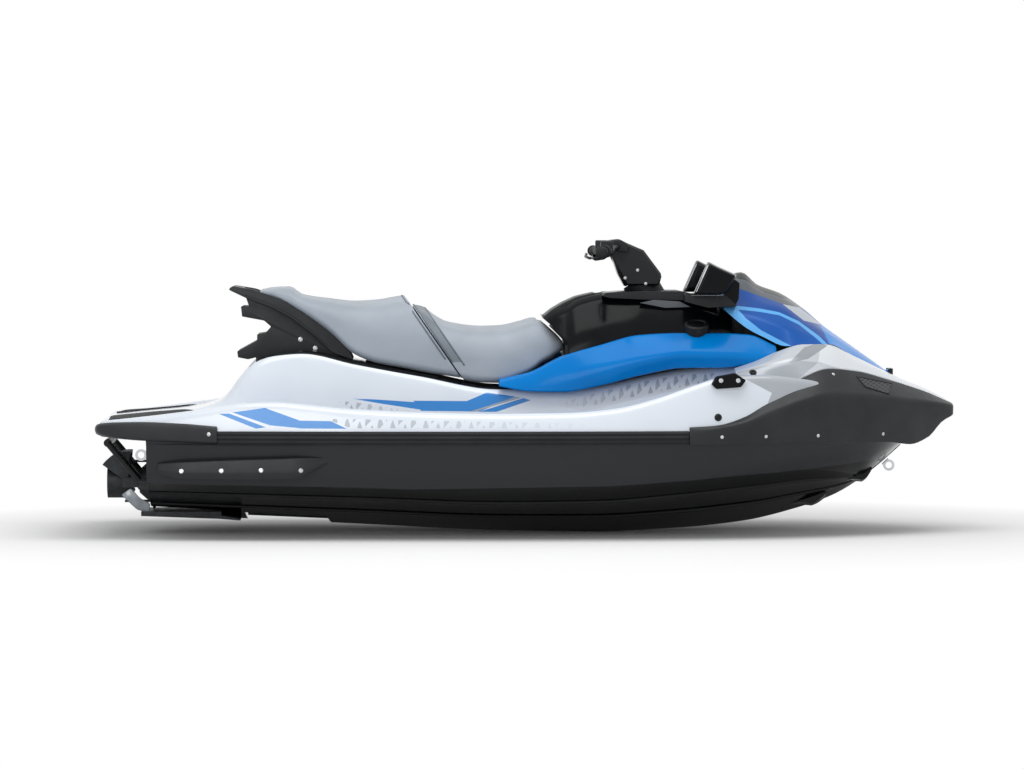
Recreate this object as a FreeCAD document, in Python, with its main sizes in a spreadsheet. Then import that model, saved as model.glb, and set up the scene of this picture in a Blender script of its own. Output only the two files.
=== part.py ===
import FreeCAD, Part
import math
import os

from FreeCAD import Placement, Rotation, Vector

# A personal watercraft: V-bottomed hull, moulded deck, hinged storage hood,
# two-piece seat, tilted steering pole and a jet pump with nozzle and reverse bucket.
# x runs forward from the middle of the craft, y to port, and z up.
# Pieces are drawn with z measured from the lowest point of the keel, and every
# piece is then lowered by the draft, so that the waterline is at z = 0.

doc = FreeCAD.newDocument("personal_watercraft")
sheet = doc.addObject("Spreadsheet::Sheet", "Sizes")

SIZES = {
    # whole craft
    "craft_length": 3145, "craft_beam": 1180, "draft": 268,
    # hull and deck
    "bond_height": 378, "rail_low": 354, "rail_high": 402, "keel_flat": 40,
    "chine_width": 42, "strake_width": 26, "transom_x": -1388,
    "gunwale_round": 24, "gunwale_width": 46, "well_slope": 26, "floor_thick": 22,
    # engine bay, engine and storage bin
    "bay_rear": -600, "bay_front": 60, "bay_width": 340, "bay_floor": 130,
    "engine_length": 480, "engine_width": 290, "engine_height": 330, "engine_rear": -450,
    "bin_rear": 800, "bin_front": 1120, "bin_width": 330, "bin_floor": 270,
    # rub rail, sponson and ride plate
    "rail_thick": 15, "rail_groove": 4, "sponson_thick": 34,
    "plate_thick": 13, "plate_front": -1060, "plate_rear": -1424,
    # jet pump
    "pump_height": 195, "tunnel_radius": 118, "tunnel_front": -1130, "pump_radius": 88,
    "pump_bore": 76, "pump_rear": -1385, "flange_radius": 104, "flange_thick": 8,
    "impeller_gap": 5.2, "impeller_x": -1225, "impeller_length": 70, "hub_radius": 26,
    "shaft_radius": 13, "blade_thick": 6, "vane_thick": 6,
    "cone_length": 50, "cone_radius": 44, "cone_wall": 9,
    "pivot_x": -1475, "nozzle_front": 8, "nozzle_tail": 78, "nozzle_radius": 62,
    "nozzle_wall": 8, "ear_gap": 8, "ear_thick": 8, "ear_width": 30, "pin_radius": 8,
    "pin_play": 0.1,
    # reverse bucket
    "bucket_radius": 113, "bucket_wall": 7, "bucket_half": 100, "bucket_low": 85,
    "bucket_high": 145, "arm_gap": 5, "arm_thick": 8, "arm_height": 36,
    # intake
    "intake_front": -690, "intake_rear": -1010, "intake_width": 190, "grate_bar": 12,
    # boarding step
    "step_x": -1415, "step_z": 190, "step_arm": 200, "step_tube": 13,
    "step_half": 165, "step_angle": 130,
    # eyes
    "eye_hole": 12, "eye_rim": 9, "eye_thick": 10, "stern_eye_y": 430, "stern_eye_z": 312,
    # steering
    "steer_x": 430, "steer_z": 905, "steer_rake": 30.5, "bar_tube": 11, "grip_radius": 17,
    "grip_length": 125, "bar_half": 372, "pole_width": 112, "boss_top": 38,
    "cap_radius": 46,
    # seats, lids and hood
    "part_gap": 5, "seat_rest": 0.3, "hood_wall": 16, "glove_width": 170,
    "glove_floor": 700, "glove_rear": 145, "glove_front": 232, "lid_width": 232,
    "hinge_x": 1344, "hinge_z": 602, "hinge_pin": 4, "hinge_wall": 4, "barrel_half": 28,
    "hinge_ear": 8, "lid_hinge_x": 265, "lid_hinge_z": 882, "seat_hinge_x": 46, "seat_hinge_z": 780,
}
for row, (alias, value) in enumerate(SIZES.items(), start=1):
    sheet.set(f"A{row}", alias)
    sheet.set(f"B{row}", str(value))
    sheet.setAlias(f"B{row}", alias)
doc.recompute()


def size(alias):
    return float(sheet.get(alias))


# The lines plan is drawn for this length and beam, and stretched to the sizes above.
DRAWN_LENGTH = 3145.0
DRAWN_BEAM = 1180.0
LONG = size("craft_length") / DRAWN_LENGTH
WIDE = size("craft_beam") / DRAWN_BEAM
BOND = size("bond_height")
GAP = size("part_gap")


def stretched(x, y, z):
    return Vector(x * LONG, y * WIDE, z)


# Naming and placing the finished pieces
NODES = []


def finish(obj, label):
    """Names a finished piece and lowers it by the draft."""
    node = doc.addObject("Part::Compound", label + "_node")
    node.Links = [obj]
    obj.Label = label + "_shape"
    node.Label = label
    node.setExpression("Placement.Base.z", "-Sizes.draft")
    NODES.append(node)


def finish_pair(near, label):
    """The starboard piece and its mirror image to port."""
    finish(near, label + "_right")
    finish(mirrored(near.Name + "_port", near), label + "_left")


def largest(name, obj):
    """The biggest solid of a piece, without crumbs left where thin edges met."""
    doc.recompute()
    return feature(name, max(obj.Shape.Solids, key=lambda solid: solid.Volume))


def bind(obj, **cells):
    for prop, expression in cells.items():
        obj.setExpression(prop.replace("__", "."), expression)
    return obj


def feature(name, shape):
    obj = doc.addObject("Part::Feature", name)
    obj.Shape = shape
    return obj


def cut(name, base, *tools):
    for n, tool in enumerate(tools):
        obj = doc.addObject("Part::Cut", f"{name}_cut{n}")
        obj.Base, obj.Tool = base, tool
        base = obj
    return base


def fuse(name, *parts):
    obj = doc.addObject("Part::MultiFuse", name)
    obj.Shapes = list(parts)
    return obj


def common(name, first, second):
    obj = doc.addObject("Part::MultiCommon", name)
    obj.Shapes = [first, second]
    return obj


def mirrored(name, source):
    obj = doc.addObject("Part::Mirroring", name)
    obj.Source = source
    obj.Normal = (0, 1, 0)
    return obj


def both_sides(name, source):
    obj = doc.addObject("Part::Compound", name)
    obj.Links = [source, mirrored(name + "_port", source)]
    return obj


def box(name, low, high):
    obj = doc.addObject("Part::Box", name)
    obj.Length, obj.Width, obj.Height = [h - l for l, h in zip(low, high)]
    obj.Placement.Base = Vector(*low)
    return obj


def rod(name, start, end, radius):
    """A cylinder from one point to another, its radius bound to the sheet."""
    obj = doc.addObject("Part::Cylinder", name)
    axis = Vector(*end) - Vector(*start)
    obj.Height = axis.Length
    obj.Placement = Placement(Vector(*start), Rotation(Vector(0, 0, 1), axis))
    bind(obj, Radius=radius)
    return obj


def moved(name, source, x=0, y=0, z=0):
    """The same solid, shifted; used to leave room round a piece."""
    obj = doc.addObject("Part::Compound", name)
    obj.Links = [source]
    obj.Placement.Base = Vector(x, y, z)
    return obj


def turned(name, source, centre, axis, degrees):
    obj = doc.addObject("Part::Compound", name)
    obj.Links = [source]
    obj.Placement = Placement(Vector(0, 0, 0), Rotation(Vector(*axis), degrees), Vector(*centre))
    return obj


def between(rows, x, column):
    """One column of a station table, read off at x."""
    for before, after in zip(rows, rows[1:]):
        if x <= after[0]:
            share = (x - before[0]) / (after[0] - before[0])
            return before[column] + (after[column] - before[column]) * max(share, 0)
    return rows[-1][column]


def gentle_slopes(xs, ys):
    """Slopes that make a cubic curve through the points without overshoot."""
    steps = [(y2 - y1) / (x2 - x1) for x1, x2, y1, y2 in zip(xs, xs[1:], ys, ys[1:])]
    slopes = [steps[0]]
    for left, right in zip(steps, steps[1:]):
        flat = left * right <= 0
        slopes.append(0.0 if flat else 2 * left * right / (left + right))
    return slopes + [steps[-1]]


def evened(rows, count):
    """The same lines read off at evenly spaced stations."""
    flat = [[v for item in row for v in (item if isinstance(item, tuple) else (item,))] for row in rows]
    xs = [row[0] for row in flat]
    columns = [list(column) for column in zip(*flat)][1:]
    slopes = [gentle_slopes(xs, column) for column in columns]
    result = []
    for n in range(count):
        x = xs[0] + (xs[-1] - xs[0]) * n / (count - 1)
        k = max(i for i in range(len(xs) - 1) if x >= xs[i] - 1e-6)
        span = xs[k + 1] - xs[k]
        t = (x - xs[k]) / span
        row = [x]
        for column, slope in zip(columns, slopes):
            rise = (1 + 2 * t) * (1 - t) ** 2 * column[k] + t * t * (3 - 2 * t) * column[k + 1]
            row.append(rise + span * t * (1 - t) * ((1 - t) * slope[k] - t * slope[k + 1]))
        result.append(row)
    return result


def pairs(values):
    return list(zip(values[0::2], values[1::2]))


def section(name, points):
    """One closed station of a loft."""
    return feature(name, Part.makePolygon(list(points) + [points[0]]))


def loft(name, stations, ruled=False):
    obj = doc.addObject("Part::Loft", name)
    obj.Sections = [section(f"{name}_s{n}", pts) for n, pts in enumerate(stations)]
    obj.Solid, obj.Ruled, obj.Closed = True, ruled, False
    return obj


def full_station(x, half):
    """Mirrors the half section of a station, given from bottom to top as (y, z)."""
    near = [stretched(x, -y, z) for y, z in half]
    far = [stretched(x, y, z) for y, z in reversed(half)]
    return near + far


def side_profile(name, points, half_width, curved=()):
    """A solid with this outline in the side view, from -half_width to half_width."""
    edges = outline_edges([stretched(x, -half_width, z) for x, z in points], curved)
    face = Part.Face(Part.Wire(edges))
    width = stretched(0, 2 * half_width, 0)
    return feature(name, face.extrude(width))


def outline_edges(points, curved):
    """Straight edges, and one spline through each run of points named in curved."""
    edges, n = [], 0
    closed = points + [points[0]]
    runs = {first: last for first, last in curved}
    while n < len(points):
        if n in runs:
            spline = Part.BSplineCurve()
            spline.interpolate(closed[n:runs[n] + 1])
            edges.append(spline.toShape())
            n = runs[n]
        else:
            edges.append(Part.LineSegment(closed[n], closed[n + 1]).toShape())
            n += 1
    return edges


# Hull: keel, two lifting strakes, chine flat, topside and the upright bond band.
# Each row: x, keel height, half beam at the chine, chine height, half beam at the bond.
HULL_STATIONS = [
    (-1388, 72, 455, 212, 508),
    (-1050, 56, 490, 206, 548),
    (-600, 34, 510, 197, 577),
    (-150, 12, 518, 184, 590),
    (250, 5, 512, 191, 585),
    (550, 18, 482, 217, 562),
    (800, 44, 420, 242, 520),
    (1000, 92, 325, 252, 458),
    (1130, 138, 215, 240, 400),
    (1230, 196, 90, 222, 340),
    (1310, 258, 40, 270, 282),
    (1385, 325, 22, 335, 215),
]
STRAKE_SHARES = (0.34, 0.68)


def hull_half(keel, chine_y, chine_z, bond_y):
    slope = (chine_z - keel) / chine_y
    narrowing = chine_y / 510
    half = [(size("keel_flat") / 2 * narrowing, keel)]
    for share in STRAKE_SHARES:
        y = share * chine_y
        width = size("strake_width") * narrowing
        half += [(y, keel + y * slope), (y + width, keel + y * slope),
                 (y + width, keel + (y + width) * slope)]
    flat = size("chine_width") * narrowing
    half += [(chine_y - flat, chine_z), (chine_y, chine_z - 2)]
    half += [(bond_y - 14, size("rail_low")), (bond_y, size("rail_low") + 4), (bond_y, BOND)]
    return half


hull_skin = loft("hull_skin", [
    full_station(x, hull_half(*row)) for x, *row in evened(HULL_STATIONS, 15)])

# Deck: gunwale, footwell and seat pedestal in one moulding, and the foredeck ahead of them.
# Each row: x, half beam, gunwale height, footwell floor height, pedestal foot half width,
# pedestal top half width, pedestal top height.
DECK_STATIONS = [
    (-1552, 462, 438, 430, 330, 250, 436),
    (-1400, 507, 455, 440, 320, 245, 452),
    (-1240, 531, 475, 448, 310, 240, 468),
    (-1130, 542, 490, 440, 300, 235, 500),
    (-1060, 548, 503, 424, 292, 230, 585),
    (-1000, 553, 510, 398, 286, 226, 648),
    (-930, 558, 511, 362, 281, 222, 674),
    (-830, 564, 503, 330, 275, 220, 684),
    (-640, 576, 485, 308, 270, 220, 645),
    (-400, 586, 474, 302, 268, 222, 599),
    (-120, 590, 469, 300, 270, 226, 548),
    (130, 588, 472, 303, 280, 235, 545),
    (300, 583, 487, 314, 290, 240, 566),
    (450, 573, 523, 352, 300, 245, 598),
    (590, 559, 570, 440, 318, 250, 622),
    (700, 544, 600, 560, 335, 250, 636),
    (820, 516, 604, 596, 335, 240, 645),
    (980, 466, 588, 596, 300, 215, 640),
    (1130, 400, 562, 574, 250, 182, 616),
    (1280, 310, 530, 540, 188, 140, 582),
    (1400, 222, 494, 502, 124, 94, 536),
    (1475, 148, 470, 476, 80, 60, 500),
]


def deck_half(beam, gunwale, floor, foot, top, height):
    """From the underside, which sinks into the hull below the footwells, up to the pedestal."""
    share = beam / 590
    under = min(BOND + 2, floor - size("floor_thick"))
    shoulder = beam - 20 * share
    edge = shoulder - size("gunwale_round") * share
    inner = edge - size("gunwale_width") * share
    return [
        (beam - 110 * share, under),
        (beam - 40 * share, BOND),
        (beam, BOND),
        (beam, size("rail_high")),
        (shoulder, gunwale - size("gunwale_round") * share),
        (edge, gunwale),
        (inner, gunwale - 6),
        (inner - size("well_slope") * share, floor),
        (foot, floor),
        ((foot + top) / 2 + 4, (floor + height) / 2),
        (top, height - 26),
        (top - 26, height),
    ]


deck_skin = loft("deck_skin", [
    full_station(x, deck_half(*row)) for x, *row in evened(DECK_STATIONS, 31)])


def bay_box(name, low_z, high_z):
    half = size("bay_width") / 2
    return box(name, (size("bay_rear") * LONG, -half, low_z), (size("bay_front") * LONG, half, high_z))


def storage_box(name, low_z, high_z):
    half = size("bin_width") / 2
    return box(name, (size("bin_rear") * LONG, -half, low_z), (size("bin_front") * LONG, half, high_z))


HIGH = 1300
PUMP_Z = size("pump_height")
TRANSOM = size("transom_x") * LONG
TUNNEL = size("tunnel_front") * LONG

tunnel = rod("tunnel", (TUNNEL, 0, PUMP_Z), (TRANSOM - 50, 0, PUMP_Z), "Sizes.tunnel_radius")
tunnel_floor = box("tunnel_floor", (TRANSOM - 50, -size("tunnel_radius"), -20),
                   (TUNNEL, size("tunnel_radius"), PUMP_Z))
shaft_bore = rod("shaft_bore", (TUNNEL - 20, 0, PUMP_Z), (size("bay_rear") * LONG + 20, 0, PUMP_Z),
                 "Sizes.shaft_radius + Sizes.pin_play")
intake_half = size("intake_width") / 2
INTAKE_REAR, INTAKE_FRONT = size("intake_rear") * LONG, size("intake_front") * LONG


def intake_duct():
    """The water's way from the grate up to the pump."""
    mouth = [Vector(x, y, -20) for x, y in (
        (INTAKE_REAR, -intake_half), (INTAKE_FRONT, -intake_half),
        (INTAKE_FRONT, intake_half), (INTAKE_REAR, intake_half))]
    roof = [Vector(x, y, z) for x, y, z in (
        (INTAKE_REAR - 60, -intake_half, 160), (INTAKE_FRONT - 130, -intake_half, 190),
        (INTAKE_FRONT - 130, intake_half, 190), (INTAKE_REAR - 60, intake_half, 160))]
    return loft("intake_ramp", [mouth, roof], ruled=True)


bore = size("pump_bore")
duct = rod("duct", (TUNNEL - 5, 0, PUMP_Z), (INTAKE_REAR + 120, 0, PUMP_Z), "Sizes.pump_bore")
intake = fuse("intake", intake_duct(), duct)


def under_deck(name, rows):
    """Room in the hull for the part of the deck that sinks below the bond."""
    stations = []
    for x, beam, _, floor, *_ in rows:
        share = beam / 590
        rim = beam - 32 * share
        under = min(BOND - 3, floor - size("floor_thick") - 14)
        half = [(rim - 70 * share, under), (rim, BOND - 2), (rim, BOND + 4)]
        stations.append(full_station(x, half))
    return loft(name, stations, ruled=True)


deck_rows = evened(DECK_STATIONS, 31)
deck_room = under_deck("deck_room", [row for row in deck_rows if -1160 <= row[0] <= 620])
bay = bay_box("bay", size("bay_floor"), HIGH)
bin_low, bin_high = (storage_box(name, size("bin_floor"), HIGH) for name in ("bin_low", "bin_high"))
hull = cut("hull", hull_skin, deck_room, bay, bin_low, fuse("stern_hollow", tunnel, tunnel_floor),
           intake, shaft_bore)
finish(largest("hull_whole", hull), "hull")
deck = cut("deck", deck_skin, bay_box("bay_high", 0, HIGH), bin_high)
finish(largest("deck_whole", deck), "deck")

engine_rear = size("engine_rear") * LONG
half_engine = size("engine_width") / 2
engine_floor = size("bay_floor")
engine = box("engine_block", (engine_rear, -half_engine, engine_floor),
             (engine_rear + size("engine_length"), half_engine, engine_floor + size("engine_height")))
engine_fillet = doc.addObject("Part::Fillet", "engine_round")
engine_fillet.Base = engine
engine_fillet.Edges = [(n, 18.0, 18.0) for n in range(1, 13)]
finish(engine_fillet, "engine")


# Bow bumper: lower edge, low crease, high crease and top edge of the dark moulding.
# Each row: x, then (half width, height) of those four lines.
BUMPER_STATIONS = [
    (566, (574, 352), (578, 366), (578, 392), (566, 419)),
    (664, (562, 352), (566, 370), (568, 412), (550, 424)),
    (769, (540, 352), (545, 370), (552, 431), (520, 456)),
    (860, (510, 352), (516, 372), (528, 462), (478, 524)),
    (975, (478, 352), (484, 398), (496, 504), (420, 586)),
    (1083, (434, 351), (440, 448), (446, 527), (352, 622)),
    (1200, (368, 350), (376, 461), (384, 522), (282, 610)),
    (1310, (300, 349), (308, 459), (314, 511), (218, 580)),
    (1400, (230, 338), (238, 456), (246, 500), (160, 552)),
    (1470, (160, 360), (178, 453), (192, 491), (118, 528)),
    (1530, (116, 418), (132, 451), (144, 484), (84, 502)),
    (1572.5, (92, 440), (96, 452), (98, 476), (64, 484)),
]


def bumper_half(values):
    low, low_crease, high_crease, top = pairs(values)
    inside = 46
    drop = 34
    return [low, low_crease, high_crease, top,
            (max(top[0] - inside, 20), max(top[1] - drop, low_crease[1] + 4))]


bumper_skin = loft("bumper_skin", [
    full_station(x, bumper_half(lines)) for x, *lines in evened(BUMPER_STATIONS, 13)])
bumper = cut("bow_bumper", bumper_skin, hull_skin, deck_skin,
             storage_box("bin_bumper", size("rail_low") - 20, HIGH))
finish(largest("bumper_whole", bumper), "bow_bumper")

# Silver nose cover between the bumper and the hood.
# Each row: x, then (half width, height) of the outer edge, the knuckle and the crest.
NOSE_STATIONS = [
    (742, (470, 590), (420, 612), (345, 622)),
    (820, (452, 570), (412, 628), (332, 648)),
    (900, (436, 556), (396, 648), (312, 682)),
    (1000, (398, 594), (352, 664), (276, 708)),
    (1090, (348, 622), (302, 668), (236, 708)),
    (1190, (288, 612), (246, 642), (182, 664)),
    (1290, (230, 586), (188, 606), (126, 616)),
    (1390, (166, 554), (128, 564), (84, 570)),
    (1470, (118, 526), (84, 534), (52, 538)),
    (1550, (70, 490), (44, 496), (24, 498)),
]


def nose_half(values):
    edge, knuckle, crest = pairs(values)
    return [(edge[0] - 30, edge[1] - 60), edge, knuckle, crest, (crest[0] - 14, crest[1] - 8)]


nose_skin = loft("nose_skin", [
    full_station(x, nose_half(lines)) for x, *lines in evened(NOSE_STATIONS, 11)])

nose = cut("nose_cover", nose_skin, deck_skin, bumper_skin,
           storage_box("bin_nose", BOND, HIGH))
finish(largest("nose_whole", nose), "nose_cover")

# Blue side cover of each side, between the seat and the nose.
# Each row: x, then (half width, height) of the lower edge, the crease and the upper edge.
COVER_STATIONS = [
    (-112, (262, 552), (256, 566), (248, 578)),
    (0, (272, 534), (262, 570), (248, 604)),
    (120, (280, 532), (278, 588), (250, 662)),
    (257, (292, 556), (302, 618), (254, 703)),
    (404, (306, 594), (330, 650), (262, 740)),
    (560, (318, 621), (350, 674), (276, 747)),
    (700, (326, 622), (348, 668), (284, 747)),
    (800, (328, 634), (334, 664), (290, 742)),
    (900, (318, 656), (310, 668), (288, 700)),
]


def cover_half(values):
    low, crease, high = pairs(values)
    depth = 60
    return [(low[0] - depth, low[1]), low, crease, high, (high[0] - depth, high[1])]


def near_station(x, points):
    return [stretched(x, -y, z) for y, z in points]


cover_skin = loft("cover_skin", [
    near_station(x, cover_half(lines)) for x, *lines in evened(COVER_STATIONS, 11)])
cover_near = cut("cover_near", cover_skin, deck_skin, nose_skin)
finish_pair(cover_near, "side_cover")

# Console ahead of the seat.
# Each row: x, then (half width, height) of the foot, the waist and the shoulder, and the top height.
CONSOLE_STATIONS = [
    (46, (214, 552), (196, 668), (132, 782), 806),
    (90, (228, 556), (212, 680), (148, 804), 830),
    (137, (236, 560), (222, 690), (158, 822), 846),
    (176, (240, 566), (226, 716), (160, 846), 868),
    (260, (246, 580), (232, 742), (160, 868), 889),
    (350, (250, 600), (222, 762), (156, 876), 898),
    (450, (254, 615), (206, 772), (160, 874), 900),
    (560, (258, 625), (206, 778), (168, 862), 890),
    (660, (262, 630), (214, 776), (180, 830), 850),
    (740, (262, 632), (222, 764), (186, 804), 820),
]


def console_half(values):
    *edges, top = values
    foot, waist, shoulder = pairs(edges)
    return [foot, waist, shoulder, (shoulder[0] - 34, top)]


console_skin = loft("console_skin", [
    full_station(x, console_half(row)) for x, *row in evened(CONSOLE_STATIONS, 11)])

# The steering turns on this raked axis.
rake = math.radians(size("steer_rake"))
STEER_X, STEER_Z = size("steer_x") * LONG, size("steer_z")
AXIS = Vector(-math.sin(rake), 0, math.cos(rake))
steer_foot = Vector(STEER_X, 0, STEER_Z)


def along_axis(distance):
    return tuple(steer_foot + AXIS * distance)


spindle_room = rod("spindle_room", along_axis(-18), along_axis(size("boss_top") + 1),
                   "Sizes.pin_radius * 2 + Sizes.pin_play")
spindle_clear = rod("spindle_clear", along_axis(-18), along_axis(size("boss_top") + 1),
                    "Sizes.pin_radius * 2 + 1")


# Seats. Each row: x, half width at the lower edge, height of the lower edge, height of the top.
REAR_SEAT_STATIONS = [
    (-986, 120, 890, 904), (-934, 152, 878, 913), (-880, 172, 856, 915), (-830, 184, 830, 886),
    (-729, 198, 760, 871), (-640, 206, 680, 862), (-560, 209, 648, 866), (-473, 211, 632, 880),
    (-380, 211, 614, 888), (-230, 211, 590, 892)]
FRONT_SEAT_STATIONS = [
    (-520, 211, 640, 862), (-450, 211, 627, 850), (-395, 211, 616, 843), (-345, 211, 607, 809),
    (-298, 211, 598, 785), (-176, 211, 576, 769), (-107, 206, 574, 771), (-28, 190, 596, 788),
    (16, 180, 618, 800), (48, 170, 644, 791), (80, 160, 660, 765), (126, 132, 690, 720)]


def seat_half(edge, low, top):
    rise = top - low
    return [(edge - 34, low - 12), (edge, low), (edge * 0.95, low + rise * 0.55),
            (edge * 0.76, top - rise * 0.12 - 4), (edge * 0.45, top)]


def seat_loft(name, rows, count):
    return loft(name, [full_station(x, seat_half(*row)) for x, *row in evened(rows, count)])


rear_skin = seat_loft("rear_seat_skin", REAR_SEAT_STATIONS, 13)
front_skin = seat_loft("front_seat_skin", FRONT_SEAT_STATIONS, 15)

# Hinges: a barrel on the moving piece between two ears, and a pin through all three.
BARREL_HALF, EAR = size("barrel_half"), size("hinge_ear")
BARREL_RADIUS = size("hinge_pin") + size("hinge_wall")


def across(name, x, z, half, radius):
    return rod(name, (x, -half, z), (x, half, z), radius)


def hinge_barrel(name, x, z):
    return across(name, x, z, BARREL_HALF, "Sizes.hinge_pin + Sizes.hinge_wall")


def hinge_hole(name, x, z):
    return across(name, x, z, BARREL_HALF + 1, "Sizes.hinge_pin + Sizes.pin_play")


def hinge_ears(name, outline):
    """The two fixed ears beside a barrel, with this outline in the side view."""
    outer = side_profile(name + "_outer", outline, (BARREL_HALF + 1 + EAR) / WIDE)
    inner = side_profile(name + "_inner", outline, (BARREL_HALF + 1) / WIDE)
    return cut(name, outer, inner)


def hinge_pin(name, x, z):
    return across(name, x, z, BARREL_HALF + 1 + EAR, "Sizes.hinge_pin")


def hinge_room(name, outline):
    """Room for barrel and ears, with a gap all round."""
    return side_profile(name, outline, (BARREL_HALF + 1 + EAR + GAP) / WIDE)


# The lid over the glove box, with its hinge at the front edge.
LID_X, LID_Z = size("lid_hinge_x") * LONG, size("lid_hinge_z")
lid_half = size("lid_width") / 2
lid_side = side_profile("lid_side", [
    (52, 802), (86, 830), (130, 856), (176, 877), (231, 890), (250, 893),
    (250, 873), (231, 868), (176, 852), (137, 831), (100, 803), (66, 788)],
    lid_half, curved=[(0, 5), (6, 11)])
lid_room = side_profile("lid_room", [
    (30, 790), (86, 842), (176, 888), (231, 912), (280, 912), (280, 866), (231, 860), (176, 844),
    (137, 822), (92, 784), (64, 764), (40, 780)], lid_half + GAP)
lid_neck = box("lid_neck", (LID_X - 22, -BARREL_HALF, LID_Z - BARREL_RADIUS + 2),
               (LID_X, BARREL_HALF, LID_Z + BARREL_RADIUS))
lid_solid = fuse("lid_solid", lid_side, lid_neck, hinge_barrel("lid_barrel", LID_X, LID_Z))
lid = cut("glovebox_lid", lid_solid, hinge_hole("lid_hole", LID_X, LID_Z))
glove_half = size("glove_width") / 2
glove = box("glove_box", (size("glove_rear") * LONG, -glove_half, size("glove_floor")),
            (size("glove_front") * LONG, glove_half, HIGH))
LID_X_DRAWN = size("lid_hinge_x")
lid_ears = hinge_ears("lid_ears", [
    (LID_X_DRAWN - 9, LID_Z - 22), (LID_X_DRAWN - 9, LID_Z + 8), (LID_X_DRAWN + 9, LID_Z + 8),
    (LID_X_DRAWN + 9, LID_Z - 22)])
nose_room = side_profile("nose_room", [
    (30, 900), (44, 812), (60, 794), (88, 770), (137, 721), (147, 690), (147, 540), (0, 540), (0, 900)],
    300)
console_shell = cut("console_shell", console_skin, deck_skin, cover_skin,
                    mirrored("cover_skin_far", cover_skin), lid_room, glove,
                    storage_box("bin_console", BOND, HIGH), spindle_clear, nose_room)
console = fuse("console", largest("console_body", console_shell), lid_ears,
               hinge_pin("lid_pin", LID_X, LID_Z))
finish(console, "console")
finish(lid, "glovebox_lid")

# The front seat tips up on a pin at its nose.
SEAT_X, SEAT_Z = size("seat_hinge_x") * LONG, size("seat_hinge_z")
SEAT_X_DRAWN = size("seat_hinge_x")
seat_ears = hinge_ears("seat_ears", [
    (SEAT_X_DRAWN - 8, SEAT_Z - 8), (SEAT_X_DRAWN - 8, SEAT_Z + 6), (SEAT_X_DRAWN + 2, SEAT_Z + 9),
    (SEAT_X_DRAWN + 60, SEAT_Z - 42), (SEAT_X_DRAWN + 52, SEAT_Z - 54)])
seat_pin = hinge_pin("seat_pin", SEAT_X, SEAT_Z)
seat_hinge = cut("seat_hinge", fuse("seat_hinge_solid", seat_ears, seat_pin), console)
finish(largest("seat_hinge_whole", seat_hinge), "seat_hinge")

# Rub rail along the bond of each side, with three grooves.
rail_out = size("rail_thick")
rail_in = rail_out - size("rail_groove")
rail_low, rail_high = size("rail_low"), size("rail_high")


def rail_points(x, share):
    beam = between(DECK_STATIONS, x, 1)
    points = [(beam - 30, rail_low)]
    steps = 7
    for n in range(steps + 1):
        out = rail_out if n % 2 == 0 else rail_in
        points.append((beam + out * share, rail_low + (rail_high - rail_low) * n / steps))
    return points + [(beam - 30, rail_high)]


rail_skin = loft("rail_skin", [near_station(x, rail_points(x, share)) for x, share in (
    (-1130, 1), (-900, 1), (-600, 1), (-300, 1), (0, 1), (300, 1), (500, 1), (566, 1))])
rail = cut("rub_rail", rail_skin, hull_skin, deck_skin)
finish_pair(rail, "rub_rail")

# Stern bumper round the overhanging deck.
STERN_STATIONS = [
    (-1574, 440, 392, 400, 414, 418),
    (-1560, 462, 384, 394, 420, 428),
    (-1500, 488, 374, 380, 424, 434),
    (-1400, 507, 366, 372, 426, 436),
    (-1250, 529, 360, 366, 422, 430),
    (-1130.5, 542, 354, 362, 412, 420),
]


def stern_half(beam, low, low_side, high_side, high):
    thick = rail_out + 3
    return [(beam - 50, 386), (beam - 4, low), (beam + thick, low_side),
            (beam + thick, high_side), (beam - 2, high), (beam - 40, 402)]


stern_skin = loft("stern_skin", [near_station(x, stern_half(*row)) for x, *row in STERN_STATIONS])
stern_near = cut("stern_near", stern_skin, hull_skin, deck_skin)
stern_bar = box("stern_bar", (-1574 * LONG, -430 * WIDE, 393), (-1540 * LONG, 430 * WIDE, 417))
stern_rear = cut("stern_rear", stern_bar, deck_skin)
stern_bumper = fuse("stern_bumper_solid", stern_near, mirrored("stern_far", stern_near), stern_rear)
finish(largest("stern_whole", stern_bumper), "stern_bumper")

# Sponsons on the topsides.
SPONSON_STATIONS = [
    (-1346, 0.5, 246, 286), (-1250, 1, 231, 292), (-1050, 1, 228, 300),
    (-860, 1, 229, 306), (-780, 0.6, 262, 309), (-712, 0.1, 296, 311)]


def sponson_points(x, share, low, high):
    chine = between(HULL_STATIONS, x, 2)
    bond = between(HULL_STATIONS, x, 4)
    side = (chine + bond) / 2
    out = side + size("sponson_thick") * share
    return [(side - 45, low), (out - 8, low), (out, low + (high - low) * 0.3), (out - 6, high),
            (side - 45, high)]


sponson_skin = loft("sponson_skin", [near_station(x, sponson_points(x, *row))
                                     for x, *row in SPONSON_STATIONS], ruled=True)
finish_pair(cut("sponson", sponson_skin, hull_skin), "sponson")


# Jet pump: housing with flange, tapered outlet, guide vanes and the ears for nozzle and bucket.
PUMP_REAR = size("pump_rear") * LONG
PIVOT = size("pivot_x") * LONG
flange_r, flange_t = size("flange_radius"), size("flange_thick")
CONE_REAR = PUMP_REAR - size("cone_length")
pump_r, pump_bore = size("pump_radius"), size("pump_bore")


def cone(name, x_front, x_rear, r_front, r_rear):
    obj = doc.addObject("Part::Cone", name)
    obj.Radius1, obj.Radius2, obj.Height = r_front, r_rear, x_front - x_rear
    obj.Placement = Placement(Vector(x_front, 0, PUMP_Z), Rotation(Vector(0, 0, 1), Vector(-1, 0, 0)))
    return obj


def pump_rod(name, x_front, x_rear, radius):
    return rod(name, (x_front, 0, PUMP_Z), (x_rear, 0, PUMP_Z), radius)


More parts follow.
